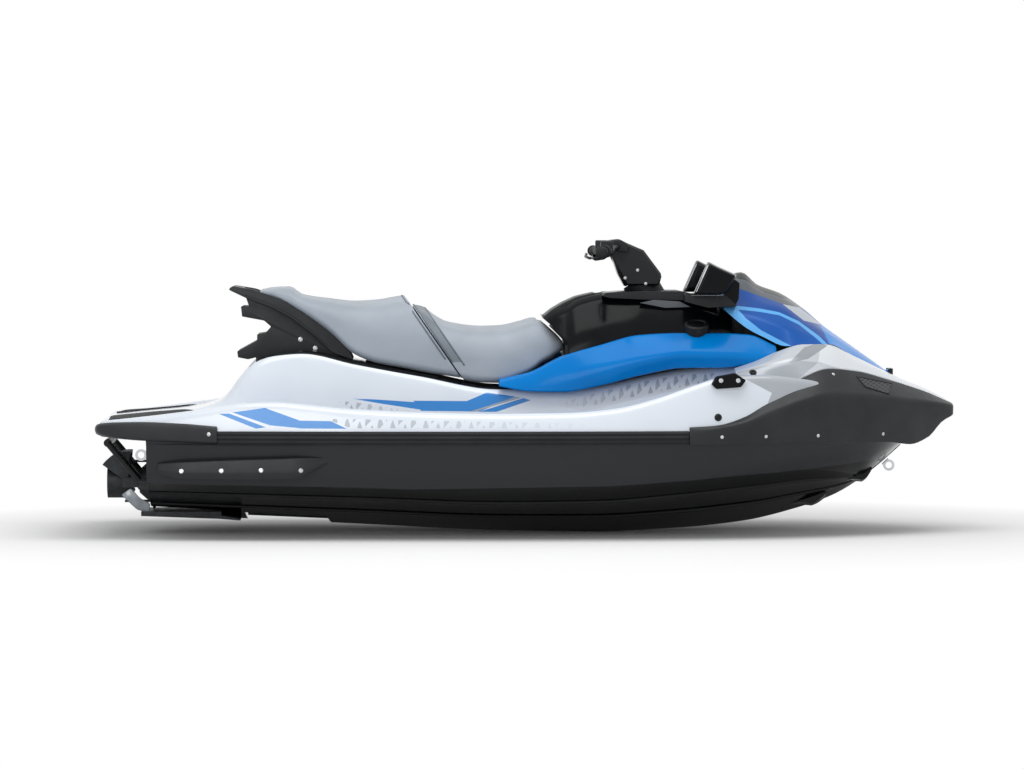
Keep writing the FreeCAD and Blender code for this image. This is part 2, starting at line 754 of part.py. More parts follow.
def pump_box(name, x_low, x_high, y_low, y_high, z_low, z_high):
    return box(name, (x_low, y_low, PUMP_Z + z_low), (x_high, y_high, PUMP_Z + z_high))


def pair(name, make):
    """The same box or rod on both sides of the pump's axis."""
    return [make(f"{name}_{side}", sign) for side, sign in (("a", -1), ("b", 1))]


housing_out = fuse(
    "housing_out",
    pump_rod("housing_tube", TUNNEL, PUMP_REAR, "Sizes.pump_radius"),
    pump_rod("housing_flange", PUMP_REAR + flange_t, PUMP_REAR, "Sizes.flange_radius"),
    cone("housing_taper", PUMP_REAR, CONE_REAR, pump_r, size("cone_radius")))
housing_in = fuse(
    "housing_in",
    pump_rod("housing_bore", TUNNEL + 1, PUMP_REAR, "Sizes.pump_bore"),
    cone("taper_bore", PUMP_REAR, CONE_REAR - 1, pump_bore, size("cone_radius") - size("cone_wall")))
housing = cut("housing_shell", housing_out, housing_in)
vane_front, vane_rear = PUMP_REAR + 75, PUMP_REAR + 5
vanes = []
for n in range(5):
    vane = pump_box(f"vane_{n}", vane_rear, vane_front, -size("vane_thick") / 2,
                    size("vane_thick") / 2, 10, (pump_bore + pump_r) / 2)
    vanes.append(turned(f"vane_turned_{n}", vane, (0, 0, PUMP_Z), (1, 0, 0), 72 * n))
vane_hub = pump_rod("vane_hub", vane_front, vane_rear, "Sizes.hub_radius")
vane_nose = cone("vane_nose", vane_rear, vane_rear - 40, size("hub_radius"), 8)
ear_low = size("nozzle_radius") + size("ear_gap")
ear_high = ear_low + size("ear_thick")
ear_half = size("ear_width") / 2
ear_tail = PIVOT - ear_half
ears = pair("ear", lambda name, sign: pump_box(
    name, ear_tail, PUMP_REAR + flange_t, -ear_half, ear_half,
    *sorted((sign * ear_low, sign * ear_high))))
pin_inside = size("nozzle_radius") - size("nozzle_wall")
nozzle_pins = pair("nozzle_pin", lambda name, sign: rod(
    name, (PIVOT, 0, PUMP_Z + sign * pin_inside), (PIVOT, 0, PUMP_Z + sign * ear_high),
    "Sizes.pin_radius"))
arm_in = size("bucket_half") + size("arm_gap")
arm_out = arm_in + size("arm_thick")
arm_half = size("arm_height") / 2
bucket_arms = pair("bucket_arm", lambda name, sign: pump_box(
    name, PIVOT - arm_half, PUMP_REAR + flange_t, *sorted((sign * arm_in, sign * arm_out)),
    -arm_half, arm_half))
bucket_roots = pair("bucket_root", lambda name, sign: pump_box(
    name, PUMP_REAR, PUMP_REAR + flange_t, *sorted((sign * (pump_r + 4), sign * arm_out)),
    -arm_half, arm_half))
plate_in = size("bucket_half") - size("bucket_wall")
bucket_pins = pair("bucket_pin", lambda name, sign: rod(
    name, (PIVOT, sign * plate_in, PUMP_Z), (PIVOT, sign * arm_out, PUMP_Z), "Sizes.pin_radius"))
shaft_seat = pump_rod("shaft_seat", vane_front + 1, vane_front - 40, "Sizes.shaft_radius + Sizes.pin_play")
pump_solid = fuse("pump_solid", housing, vane_hub, vane_nose, *vanes, *ears, *nozzle_pins, *bucket_arms,
                  *bucket_roots, *bucket_pins)
finish(cut("pump_housing", pump_solid, shaft_seat), "pump_housing")

# Steering nozzle, turning on the two upright pins.
nozzle_front, nozzle_rear = PIVOT + size("nozzle_front"), PIVOT - size("nozzle_tail")
nozzle_tube = pump_rod("nozzle_tube", nozzle_front, nozzle_rear, "Sizes.nozzle_radius")
nozzle_bore = pump_rod("nozzle_bore", nozzle_front + 1, nozzle_rear - 1,
                       "Sizes.nozzle_radius - Sizes.nozzle_wall")
pin_room = rod("pin_room", (PIVOT, 0, PUMP_Z - ear_low), (PIVOT, 0, PUMP_Z + ear_low),
               "Sizes.pin_radius + Sizes.pin_play")
finish(cut("steering_nozzle", nozzle_tube, nozzle_bore, pin_room), "steering_nozzle")

# Reverse bucket: a curved shell and two cheeks, turning on the side pins.
bucket_r, bucket_w = size("bucket_radius"), size("bucket_wall")
bucket_half = size("bucket_half")


def sector(name, r_low, r_high, start, end, y_low, y_high):
    """A slice of a ring about the bucket's pins; angles run from ahead, upwards."""
    def at(radius, degrees):
        turn = math.radians(degrees)
        return Vector(PIVOT + radius * math.cos(turn), y_low, PUMP_Z + radius * math.sin(turn))
    middle = (start + end) / 2
    edges = [Part.Arc(at(r_high, start), at(r_high, middle), at(r_high, end)).toShape()]
    edges.append(Part.LineSegment(at(r_high, end), at(r_low, end)).toShape())
    if r_low > 0:
        edges.append(Part.Arc(at(r_low, end), at(r_low, middle), at(r_low, start)).toShape())
    edges.append(Part.LineSegment(at(r_low, start), at(r_high, start)).toShape())
    return feature(name, Part.Face(Part.Wire(edges)).extrude(Vector(0, y_high - y_low, 0)))


low_angle, high_angle = size("bucket_low"), size("bucket_high")
bucket_shell = sector("bucket_shell", bucket_r - bucket_w, bucket_r, low_angle, high_angle,
                      -bucket_half, bucket_half)
cheeks = pair("cheek", lambda name, sign: sector(
    name, 0, bucket_r, low_angle, high_angle, *sorted((sign * plate_in, sign * bucket_half))))
bosses = pair("cheek_boss", lambda name, sign: rod(
    name, (PIVOT, sign * plate_in, PUMP_Z), (PIVOT, sign * bucket_half, PUMP_Z),
    "Sizes.pin_radius + 10"))
bucket_hole = rod("bucket_hole", (PIVOT, -bucket_half - 1, PUMP_Z), (PIVOT, bucket_half + 1, PUMP_Z),
                  "Sizes.pin_radius + Sizes.pin_play")
bucket = cut("reverse_bucket", fuse("bucket_solid", bucket_shell, *cheeks, *bosses), bucket_hole)
finish(bucket, "reverse_bucket")

# Impeller with four pitched blades, and the drive shaft ahead of it.
IMPELLER = size("impeller_x") * LONG
wheel_half = size("impeller_length") / 2
wheel_r = pump_bore - size("impeller_gap")
blades = []
for n in range(4):
    blade = pump_box(f"blade_{n}", IMPELLER - wheel_half - 14, IMPELLER + wheel_half + 14,
                     -size("blade_thick") / 2, size("blade_thick") / 2, 15, wheel_r)
    pitched = turned(f"blade_pitched_{n}", blade, (IMPELLER, 0, 0), (0, 0, 1), 38)
    blades.append(turned(f"blade_turned_{n}", pitched, (0, 0, PUMP_Z), (1, 0, 0), 90 * n))
wheel_room = rod("wheel_room", (IMPELLER - wheel_half, 0, PUMP_Z), (IMPELLER + wheel_half, 0, PUMP_Z),
                 "Sizes.pump_bore - Sizes.impeller_gap")
wheel_hub = pump_rod("wheel_hub", IMPELLER + wheel_half, IMPELLER - wheel_half, "Sizes.hub_radius")
wheel = common("wheel", fuse("wheel_solid", wheel_hub, *blades), wheel_room)
shaft_front = size("bay_rear") * LONG + 60
shaft = pump_rod("drive_shaft", shaft_front, vane_front - 36, "Sizes.shaft_radius")
finish(cut("impeller", wheel, shaft), "impeller")
finish(shaft, "drive_shaft")

# Intake grate and ride plate.
bar_half = size("grate_bar") / 2
grate_bars = [rod(f"grate_bar_{n}", (INTAKE_FRONT + 25, y, 58 + abs(y) * 0.2),
                  (INTAKE_REAR - 25, y, 74 + abs(y) * 0.2), "Sizes.grate_bar / 2")
              for n, y in enumerate((-54, 0, 54))]
cross_x = (INTAKE_FRONT + INTAKE_REAR) / 2
grate_cross = rod("grate_cross", (cross_x, -54, 77), (cross_x, 54, 77), "Sizes.grate_bar / 2")
finish(cut("intake_grate", fuse("grate_solid", *grate_bars, grate_cross), hull), "intake_grate")

plate_half = size("tunnel_radius") + 22
plate_top = PUMP_Z - flange_r - 2
plate_low = plate_top - size("plate_thick")
PLATE_FRONT, PLATE_REAR = size("plate_front") * LONG, size("plate_rear") * LONG
plate = box("plate_slab", (PLATE_REAR, -plate_half, plate_low), (TUNNEL, plate_half, plate_top))
plate_lip = side_profile("plate_lip", [
    (TUNNEL / LONG - 2, plate_low - 1), (PLATE_FRONT / LONG, plate_low - 14),
    (PLATE_FRONT / LONG, plate_low - 20), (TUNNEL / LONG - 2, plate_low - 14),
    (PLATE_REAR / LONG, plate_low - 3), (PLATE_REAR / LONG, plate_low + 2)], plate_half / WIDE)
finish(cut("ride_plate", fuse("plate_solid", plate, plate_lip), hull), "ride_plate")

# Boarding step: a looped tube with a tread, folded up under the stern.
STEP_X, STEP_Z = size("step_x") * LONG, size("step_z")
step_half = size("step_half")
fold = math.radians(size("step_angle"))
STEP_END_X = STEP_X + size("step_arm") * math.cos(fold)
STEP_END_Z = STEP_Z + size("step_arm") * math.sin(fold)
step_arms = pair("step_arm", lambda name, sign: rod(
    name, (STEP_X, sign * step_half, STEP_Z), (STEP_END_X, sign * step_half, STEP_END_Z),
    "Sizes.step_tube"))
step_bar = rod("step_bar", (STEP_END_X, -step_half - 6, STEP_END_Z),
               (STEP_END_X, step_half + 6, STEP_END_Z), "Sizes.step_tube + 2")
knuckle = size("step_tube") + 3
step_eyes = pair("step_eye", lambda name, sign: rod(
    name, (STEP_X, sign * step_half - knuckle, STEP_Z), (STEP_X, sign * step_half + knuckle, STEP_Z),
    "Sizes.step_tube + 9"))
step_hole = rod("step_hole", (STEP_X, -step_half - 30, STEP_Z), (STEP_X, step_half + 30, STEP_Z),
                "Sizes.pin_radius + Sizes.pin_play")
finish(cut("boarding_step", fuse("step_solid", *step_arms, step_bar, *step_eyes), step_hole),
       "boarding_step")
step_pins = []
for side, sign in (("a", -1), ("b", 1)):
    for inner in (-1, 1):
        y = sign * step_half + inner * (knuckle + 5 + 4)
        step_pins.append(box(f"step_lug_{side}{inner + 1}", (STEP_X - 16, y - 4, STEP_Z - 16),
                             (TRANSOM + 12, y + 4, STEP_Z + 16)))
    pin_reach = knuckle + 13
    step_pins.append(rod(f"step_pin_{side}", (STEP_X, sign * step_half - pin_reach, STEP_Z),
                         (STEP_X, sign * step_half + pin_reach, STEP_Z), "Sizes.pin_radius"))
finish(cut("step_mounts", fuse("step_mount_solid", *step_pins), hull_skin), "step_mounts")


# Eyes for towing, lifting and mooring.
def eye(name, x, y, z, lean):
    """A ring across the craft, with a lug that runs into the hull."""
    half = size("eye_thick") / 2
    ring = rod(name + "_ring", (x, y - half, z), (x, y + half, z), "Sizes.eye_hole + Sizes.eye_rim")
    turn = Rotation(Vector(0, 1, 0), -lean)
    lug = box(name + "_lug", (0, -half, -15), (44, half, 15))
    lug.Placement = Placement(Vector(x, y, z) + turn.multVec(Vector(0, -half, -15)), turn)
    hole = rod(name + "_hole", (x, y - half - 1, z), (x, y + half + 1, z), "Sizes.eye_hole")
    return cut(name, fuse(name + "_solid", ring, lug), hole, hull_skin)


eye_reach = size("eye_hole") + size("eye_rim")
finish_pair(eye("stern_eye", TRANSOM - eye_reach, -size("stern_eye_y") * WIDE, size("stern_eye_z"), 0),
            "stern_eye")
finish(largest("bow_eye_whole", eye("bow_eye", 1342 * LONG, 0, 250, 135)), "bow_eye")


# The parting between the seats, the rear handle and its bracket.
SPLIT_TOP, SPLIT_LOW = (-424, 838), (-290, 644)


def split_side(name, forward):
    """Everything beyond the slanted parting between the seats, with half the gap."""
    run = (SPLIT_TOP[0] - SPLIT_LOW[0], SPLIT_TOP[1] - SPLIT_LOW[1])
    shift = -GAP / 2 * forward * math.hypot(*run) / run[1]
    ends = [(SPLIT_LOW[0] + run[0] * t + shift, SPLIT_LOW[1] + run[1] * t) for t in (2, -1)]
    far = 1500 * forward
    ends += [(ends[1][0] + far, ends[1][1]), (ends[0][0] + far, ends[0][1])]
    return side_profile(name, ends, 400)


arm_top = [(-1102, 905), (-1088, 918), (-1010, 905), (-912, 871), (-839, 838), (-729, 750),
           (-656, 676), (-642, 645)]
arm_line = [(-722, 674), (-796, 744), (-869, 799), (-942, 839), (-1037, 874)]
arm_side = side_profile("arm_side", arm_top + arm_line, 166)
arm_room = box("arm_room", (-1046 * LONG, -124 * WIDE, 500), (-500 * LONG, 124 * WIDE, HIGH))
seat_swept = [moved(f"seat_swept_{n}", rear_skin, x=-x, z=z)
              for n, (x, z) in enumerate(((0, -GAP - 1), (GAP, 0), (28, 40), (60, 87), (100, 145)))]
seat_corner = box("seat_corner", (-996 * LONG, -140 * WIDE, 872), (-950 * LONG, 140 * WIDE, 905))
handle = cut("grab_handle", arm_side, arm_room, seat_corner, *seat_swept, deck_skin)
finish(largest("handle_whole", handle), "grab_handle")
bracket_low = [(-697, 662), (-777, 600), (-1001, 600), (-1001, 656), (-1030, 649), (-1067, 656)]
bracket_rear = [(-1070, 678), (-997, 718), (-997, 740), (-968, 744), (-946, 769), (-971, 791),
                (-1052, 806), (-1056, 843), (-1026, 843)]
bracket_side = side_profile("bracket_side", arm_line[::-1] + bracket_low + bracket_rear, 150)
finger_room = box("finger_room", (-1060 * LONG, -118 * WIDE, 848), (-984 * LONG, 118 * WIDE, 960))
bracket = cut("seat_bracket", bracket_side, deck_skin, *seat_swept, finger_room)
finish(largest("bracket_whole", bracket), "seat_bracket")

deck_rise = moved("deck_rise", deck_skin, z=GAP)
cover_rise = moved("cover_rise", cover_skin, x=-GAP, z=GAP)
cover_rise_far = mirrored("cover_rise_far", cover_rise)
cover_inward = moved("cover_inward", cover_skin, x=-GAP, y=GAP + 2, z=GAP)
rest_skin = moved("rest_skin", deck_skin, z=size("seat_rest"))


def seat_pads(name, x, top):
    """The two rests of a seat on the rim of the engine bay."""
    pads = []
    for side, sign in (("a", -1), ("b", 1)):
        low, high = sorted((sign * 176 * WIDE, sign * 197 * WIDE))
        block = box(f"{name}_block_{side}", (x * LONG, low, 500), ((x + 40) * LONG, high, top))
        pads.append(cut(f"{name}_{side}", block, rest_skin))
    return pads


seat_rear_body = cut("seat_rear_body", rear_skin, split_side("split_front", 1), deck_rise)
seat_rear = fuse("seat_rear", seat_rear_body, *seat_pads("rear_pad", -540, 690))
hinge_gap = hinge_room("seat_hinge_room", [
    (SEAT_X_DRAWN - 16, SEAT_Z - 16), (SEAT_X_DRAWN - 16, SEAT_Z + 60), (SEAT_X_DRAWN + 120, SEAT_Z + 60),
    (SEAT_X_DRAWN + 120, SEAT_Z - 70), (SEAT_X_DRAWN + 60, SEAT_Z - 70)])
seat_body = cut("seat_body", front_skin, split_side("split_rear", -1), deck_rise, cover_rise,
                cover_rise_far, cover_inward, mirrored("cover_inward_far", cover_inward),
                hinge_gap, lid_room)
seat_neck = box("seat_neck", (SEAT_X - 40, -BARREL_HALF, SEAT_Z - 30),
                (SEAT_X, BARREL_HALF, SEAT_Z + BARREL_RADIUS - 4))
seat_barrel = hinge_barrel("seat_barrel", SEAT_X, SEAT_Z)
front_pads = seat_pads("front_pad", -180, 620)
seat_front = cut("seat_front", fuse("seat_solid", seat_body, seat_neck, seat_barrel, *front_pads),
                 hinge_hole("seat_hole", SEAT_X, SEAT_Z))
finish(seat_rear, "seat_rear")
finish(seat_front, "seat_front")

# Hood over the storage bin.
# Each row: x, then (half width, height) of the lower edge, the flank, the shoulder and the crown,
# and the height on the centre line.
HOOD_STATIONS = [
    (706, (286, 836), (264, 848), (206, 872), (122, 905), 925),
    (740, (288, 806), (266, 834), (202, 874), (112, 930), 952),
    (791, (290, 766), (264, 816), (190, 866), (100, 938), 966),
    (851, (290, 734), (258, 800), (186, 854), (94, 902), 920),
    (936, (286, 700), (250, 770), (180, 832), (88, 874), 888),
    (1029, (262, 704), (226, 738), (160, 778), (80, 812), 825),
    (1093, (240, 706), (206, 722), (146, 748), (72, 764), 770),
    (1197, (184, 656), (156, 668), (108, 684), (54, 693), 696),
    (1290, (126, 610), (104, 617), (72, 625), (36, 629), 630),
    (1334, (84, 589), (70, 592), (48, 596), (24, 597), 598),
]


def hood_half(values, wall=0.0, floor_drop=0.0):
    *edges, centre = values
    half = [(y - wall, z - wall) for y, z in pairs(edges)]
    half[0] = (half[0][0], half[0][1] - floor_drop)
    return half + [(half[-1][0] * 0.35, centre - wall)]


hood_rows = evened(HOOD_STATIONS, 13)
hood_skin = loft("hood_skin", [full_station(x, hood_half(lines)) for x, *lines in hood_rows])
wall = size("hood_wall")
hood_ends = (hood_rows[0][0] + wall, hood_rows[-1][0] - wall)
hood_inside = loft("hood_inside", [
    full_station(min(max(x, hood_ends[0]), hood_ends[1]), hood_half(lines, wall, 90))
    for x, *lines in hood_rows])
nose_rise = moved("nose_rise", nose_skin, z=GAP + 2)
console_rise = moved("console_rise", console_skin, z=GAP)
bumper_rise = moved("bumper_rise", bumper_skin, z=GAP)
hood_over_cover = moved("hood_over_cover", cover_skin, z=GAP + 3)
hood_shell = cut("hood_shell", hood_skin, hood_inside, nose_rise, hood_over_cover,
                 mirrored("hood_over_cover_far", hood_over_cover), console_rise, bumper_rise)

# The hood's hinge, on its front tip and the nose cover.
HINGE_X, HINGE_Z = size("hinge_x") * LONG, size("hinge_z")
HINGE_X_DRAWN = size("hinge_x")
barrel_web = box("barrel_web", (HINGE_X - 34, -BARREL_HALF, HINGE_Z - BARREL_RADIUS),
                 (HINGE_X, BARREL_HALF, HINGE_Z + 2))
hood_solid = fuse("hood_solid", hood_shell, hinge_barrel("hood_barrel", HINGE_X, HINGE_Z), barrel_web)
hood = cut("hood", hood_solid, nose_rise, hinge_hole("hood_hole", HINGE_X, HINGE_Z))
finish(largest("hood_whole", hood), "hood")
hood_ears = hinge_ears("hood_ears", [
    (HINGE_X_DRAWN - 9, HINGE_Z - 60), (HINGE_X_DRAWN - 9, HINGE_Z + 8), (HINGE_X_DRAWN + 9, HINGE_Z + 8),
    (HINGE_X_DRAWN + 9, HINGE_Z - 60)])
hinge = cut("hood_hinge", fuse("hinge_solid", hood_ears, hinge_pin("hood_pin", HINGE_X, HINGE_Z)),
            nose_skin)
finish(hinge, "hood_hinge")

# Instrument pod, steering base and mirrors.
pod_middle = side_profile("pod_middle", [(556, 870), (571, 903), (593, 912), (660, 908), (696, 898),
                                         (696, 800), (590, 800)], 150)
pod_wings = side_profile("pod_wings", [(300, 866), (312, 882), (604, 884), (700, 866), (700, 844),
                                       (604, 860), (320, 858)], 206)
pod = fuse("pod", pod_middle, pod_wings)
hood_back = moved("hood_back", hood_skin, x=-GAP)
hood_under = moved("hood_under", hood_skin, z=-GAP)
boss_room = rod("boss_room", along_axis(-60), along_axis(60), "Sizes.pole_width / 2 + 8 + Sizes.part_gap")
pod_whole = cut("pod_whole", pod, console_skin, hood_skin, hood_back, hood_under, boss_room)
finish(largest("pod_trimmed", pod_whole), "instrument_pod")

base = rod("steering_boss", along_axis(-90), along_axis(size("boss_top")), "Sizes.pole_width / 2 + 8")
finish(cut("steering_base", base, console_skin, spindle_room), "steering_base")

# Steering pole, handlebar and grips turn together on the raked axis.
pole_side = side_profile("pole_side", [
    (364, 902), (332, 960), (312, 1020), (302, 1086), (336, 1090), (410, 1052), (452, 1012),
    (492, 966), (540, 900)], size("pole_width") / 2 / WIDE)
pole_room = rod("pole_room", along_axis(size("boss_top") + GAP), along_axis(400), "Sizes.pole_width")
pole = common("pole", pole_side, pole_room)
pole_spindle = rod("pole_spindle", along_axis(-16), along_axis(size("boss_top") + 40),
                   "Sizes.pin_radius * 2")
finish(fuse("steering_pole", pole, pole_spindle), "steering_pole")
BAR_X, BAR_Z = 330 * LONG, 1060
GRIP_X, GRIP_Z = 272 * LONG, 1045
bar_half_width = size("bar_half") * WIDE
grip_start = bar_half_width - size("grip_length")
bar_tubes = [rod("bar_middle", (BAR_X, -90, BAR_Z), (BAR_X, 90, BAR_Z), "Sizes.bar_tube")]
for side, sign in (("a", -1), ("b", 1)):
    bar_tubes.append(rod(f"bar_bend_{side}", (BAR_X, sign * 88, BAR_Z),
                         (GRIP_X, sign * (grip_start + 4), GRIP_Z), "Sizes.bar_tube"))
grip = rod("grip", (GRIP_X, -grip_start, GRIP_Z), (GRIP_X - 14, -bar_half_width, GRIP_Z - 2),
           "Sizes.grip_radius")
finish_pair(grip, "grip")
handlebar = cut("handlebar", fuse("bar_solid", *bar_tubes), pole_side, grip,
                mirrored("grip_far", grip))
finish(handlebar, "handlebar")

MIRROR_ROWS = [(262, 0.80), (290, 0.97), (330, 1.0), (386, 0.88)]
MIRROR_OUTLINE = [(592, 887), (647, 1010), (680, 993), (753, 960), (742, 938), (716, 896), (690, 887)]
MIRROR_MIDDLE = (668, 940)


def mirror_station(half_width, share):
    cx, cz = MIRROR_MIDDLE
    return [stretched(cx + (x - cx) * share, -half_width, cz + (z - cz) * share)
            for x, z in MIRROR_OUTLINE]


mirror_skin = loft("mirror_skin", [mirror_station(y, share) for y, share in MIRROR_ROWS])
mirror_arm = side_profile("mirror_arm", [
    (708, 905), (742, 948), (766, 930), (762, 870), (748, 846), (712, 846)], 296)
arm_keep = box("arm_keep", (700 * LONG, -296 * WIDE, 800), (800 * LONG, -150 * WIDE, 1000))
mirror = cut("mirror", fuse("mirror_solid", mirror_skin, common("arm_near", mirror_arm, arm_keep)),
             hood_skin, console_rise, moved("nose_clear", nose_skin, z=GAP), cover_rise)
finish_pair(largest("mirror_whole", mirror), "mirror")

# Mooring cleats and the fuel cap.
cleat_side = side_profile("cleat_side", [(645, 570), (663, 597), (731, 610), (771, 584), (753, 559),
                                         (663, 552)], 548)
cleat_keep = box("cleat_keep", (600 * LONG, -548 * WIDE, 500), (800 * LONG, -505 * WIDE, 640))
finish_pair(cut("cleat", common("cleat_near", cleat_side, cleat_keep), deck_skin, bumper_skin), "cleat")
cap = rod("cap", (610 * LONG, -248 * WIDE, 730), (610 * LONG, -268 * WIDE, 784), "Sizes.cap_radius")
finish(cut("fuel_cap", cap, console_skin, cover_skin), "fuel_cap")


def export():
    os.makedirs("parts", exist_ok=True)
    doc.recompute()
    failed = [obj.Name for obj in doc.Objects if {"Invalid", "Error"} & set(obj.State)]
    if failed:
        raise RuntimeError(f"these failed: {failed}")
    for obj in NODES:
        shape = obj.Shape
        if shape.isNull() or not shape.isValid() or shape.Volume <= 0:
            raise RuntimeError(f"{obj.Label} is not a sound solid")
        shape.exportStep(f"parts/{obj.Label}.step")
        b = shape.BoundBox
        print(f"{obj.Label:22s} solids {len(shape.Solids):2d}  volume {shape.Volume / 1e6:9.3f} l  "
              f"x {b.XMin:7.0f} {b.XMax:6.0f}  y {b.YMin:5.0f} {b.YMax:5.0f}  z {b.ZMin:5.0f} {b.ZMax:5.0f}")


export()
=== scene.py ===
import math

import bmesh
import bpy
from mathutils import Matrix, Vector
from mathutils.bvhtree import BVHTree


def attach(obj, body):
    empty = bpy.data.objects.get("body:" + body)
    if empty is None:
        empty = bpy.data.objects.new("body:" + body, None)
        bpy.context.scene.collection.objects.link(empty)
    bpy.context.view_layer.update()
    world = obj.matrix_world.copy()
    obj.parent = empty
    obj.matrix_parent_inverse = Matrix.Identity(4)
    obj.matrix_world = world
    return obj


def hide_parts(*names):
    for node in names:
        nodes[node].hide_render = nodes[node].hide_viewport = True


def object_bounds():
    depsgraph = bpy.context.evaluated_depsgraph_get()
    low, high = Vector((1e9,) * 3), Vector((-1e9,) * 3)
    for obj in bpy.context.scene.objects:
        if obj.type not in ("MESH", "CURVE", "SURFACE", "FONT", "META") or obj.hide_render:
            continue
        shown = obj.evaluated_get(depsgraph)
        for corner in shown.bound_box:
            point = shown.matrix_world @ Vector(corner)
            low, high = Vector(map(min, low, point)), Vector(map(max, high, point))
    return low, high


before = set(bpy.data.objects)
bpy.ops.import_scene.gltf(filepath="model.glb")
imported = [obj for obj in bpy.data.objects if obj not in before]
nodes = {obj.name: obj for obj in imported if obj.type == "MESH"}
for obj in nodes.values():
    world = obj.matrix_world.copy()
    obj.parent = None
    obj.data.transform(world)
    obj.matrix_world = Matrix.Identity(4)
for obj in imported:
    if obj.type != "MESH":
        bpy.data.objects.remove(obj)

# A personal watercraft in a white studio. Lengths in the dictionaries are millimetres:
# x forward from mid-length, y to port, z up from the lowest point of the keel.
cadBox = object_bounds()
craft = {"draft": 268.0}  # the waterline above the keel


def place(x, y, z):  # drawing millimetres to the frame's metres
    return Vector((x, y, z - craft["draft"])) / 1000


def hexLinear(text):
    channels = [int(text[i:i + 2], 16) / 255 for i in (1, 3, 5)]
    return tuple(c / 12.92 if c <= 0.04045 else ((c + 0.055) / 1.055) ** 2.4 for c in channels) + (1.0,)


def addNode(tree, kind, settings=None, inputs=None):
    node = tree.nodes.new(kind)
    for name, value in (settings or {}).items():
        setattr(node, name, value)
    for name, value in (inputs or {}).items():
        if isinstance(value, bpy.types.NodeSocket):
            tree.links.new(value, node.inputs[name])
        else:
            node.inputs[name].default_value = value
    return node


def newMaterial(name, surface):
    material = bpy.data.materials.new(name)
    material.use_nodes = True
    tree = material.node_tree
    tree.nodes.clear()
    shader = addNode(tree, "ShaderNodeBsdfPrincipled", None, surface)
    addNode(tree, "ShaderNodeOutputMaterial", None, {"Surface": shader.outputs["BSDF"]})
    return material, tree, shader


def objectPoint(tree):
    return addNode(tree, "ShaderNodeTexCoord").outputs["Object"]


def addBump(tree, shader, height, distance, strength=1.0):
    bump = addNode(tree, "ShaderNodeBump", None,
                   {"Height": height, "Distance": distance, "Strength": strength})
    tree.links.new(bump.outputs["Normal"], shader.inputs["Normal"])


def noiseHeight(tree, sizeMm, detail):
    return addNode(tree, "ShaderNodeTexNoise", None, {
        "Vector": objectPoint(tree), "Scale": 1000 / sizeMm, "Detail": detail}).outputs["Fac"]


def spread(tree, value, low, high, fromLow=0.3, fromHigh=0.7):
    return addNode(tree, "ShaderNodeMapRange", None, {
        "Value": value, "From Min": fromLow, "From Max": fromHigh, "To Min": low,
        "To Max": high}).outputs["Result"]


def mathNode(tree, operation, first, second):
    return addNode(tree, "ShaderNodeMath", {"operation": operation}, {0: first, 1: second}).outputs[0]


def mixColour(tree, factor, first, second):
    return addNode(tree, "ShaderNodeMix", {"data_type": "RGBA"},
                   {0: factor, 6: first, 7: second}).outputs[2]


def polygonMask(tree, point, corners, soft=0.6):
    # 1 inside a convex outline in the side view, whose corners are (x, z) in drawing millimetres.
    centreX = sum(c[0] for c in corners) / len(corners)
    centreZ = sum(c[1] for c in corners) / len(corners)
    mask = None
    for (x1, z1), (x2, z2) in zip(corners, corners[1:] + corners[:1]):
        nx, nz = z2 - z1, x1 - x2
        length = math.hypot(nx, nz)
        nx, nz = nx / length, nz / length
        if (centreX - x1) * nx + (centreZ - z1) * nz < 0:
            nx, nz = -nx, -nz
        onEdge = (x1 * nx + (z1 - craft["draft"]) * nz) / 1000
        dot = addNode(tree, "ShaderNodeVectorMath", {"operation": "DOT_PRODUCT"},
                      {0: point, 1: (nx, 0.0, nz)}).outputs["Value"]
        side = spread(tree, dot, 0, 1, onEdge - soft / 1000, onEdge + soft / 1000)
        mask = side if mask is None else mathNode(tree, "MULTIPLY", mask, side)
    return mask


def paintedColour(tree, base, areas):
    # Lays each area's colour over the base: its outlines, how far out from the middle, and its fade.
    point = objectPoint(tree)
    split = addNode(tree, "ShaderNodeSeparateXYZ", None, {0: point})
    outward = addNode(tree, "ShaderNodeMath", {"operation": "ABSOLUTE"}, {0: split.outputs["Y"]}).outputs[0]
    for area in areas:
        mask = None
        for outline in area["outlines"]:
            one = polygonMask(tree, point, outline)
            mask = one if mask is None else mathNode(tree, "MAXIMUM", mask, one)
        if "outward" in area:
            low, high = area["outward"]
            inside = mathNode(tree, "MULTIPLY", spread(tree, outward, 0, 1, low / 1000, low / 1000 + 0.001),
                              spread(tree, outward, 1, 0, high / 1000 - 0.001, high / 1000))
            mask = mathNode(tree, "MULTIPLY", mask, inside)
        if "fade" in area:
            clear, full = area["fade"]
            fading = spread(tree, split.outputs["X"], 0, 1, clear / 1000, full / 1000)
            mask = mathNode(tree, "MULTIPLY", mask, fading)
        if area.get("pattern"):
            mask = mathNode(tree, "MULTIPLY", mask, trianglePattern(tree, split, area["pattern"]))
        base = mixColour(tree, mask, base, hexLinear(area["colour"]))
    return base


# Two families of slanted lines, each with its lean and its share of the pitch, and where a wedge starts.
wedgeFilm = {"lines": ((0.34, 1.0), (-0.95, 0.7)), "threshold": 0.33}


def trianglePattern(tree, split, pitchMm):
    # Slender slanted wedges in rows, as printed film shows them: 1 on a wedge and 0 between.
    wedges = None
    for lean, share in wedgeFilm["lines"]:
        sloped = mathNode(tree, "MULTIPLY", split.outputs["Z"], lean)
        along = mathNode(tree, "ADD", split.outputs["X"], sloped)
        part = mathNode(tree, "FRACT", mathNode(tree, "MULTIPLY", along, 1000 * share / pitchMm), 0)
        wedges = part if wedges is None else mathNode(tree, "MULTIPLY", wedges, part)
    return mathNode(tree, "GREATER_THAN", wedges, wedgeFilm["threshold"])


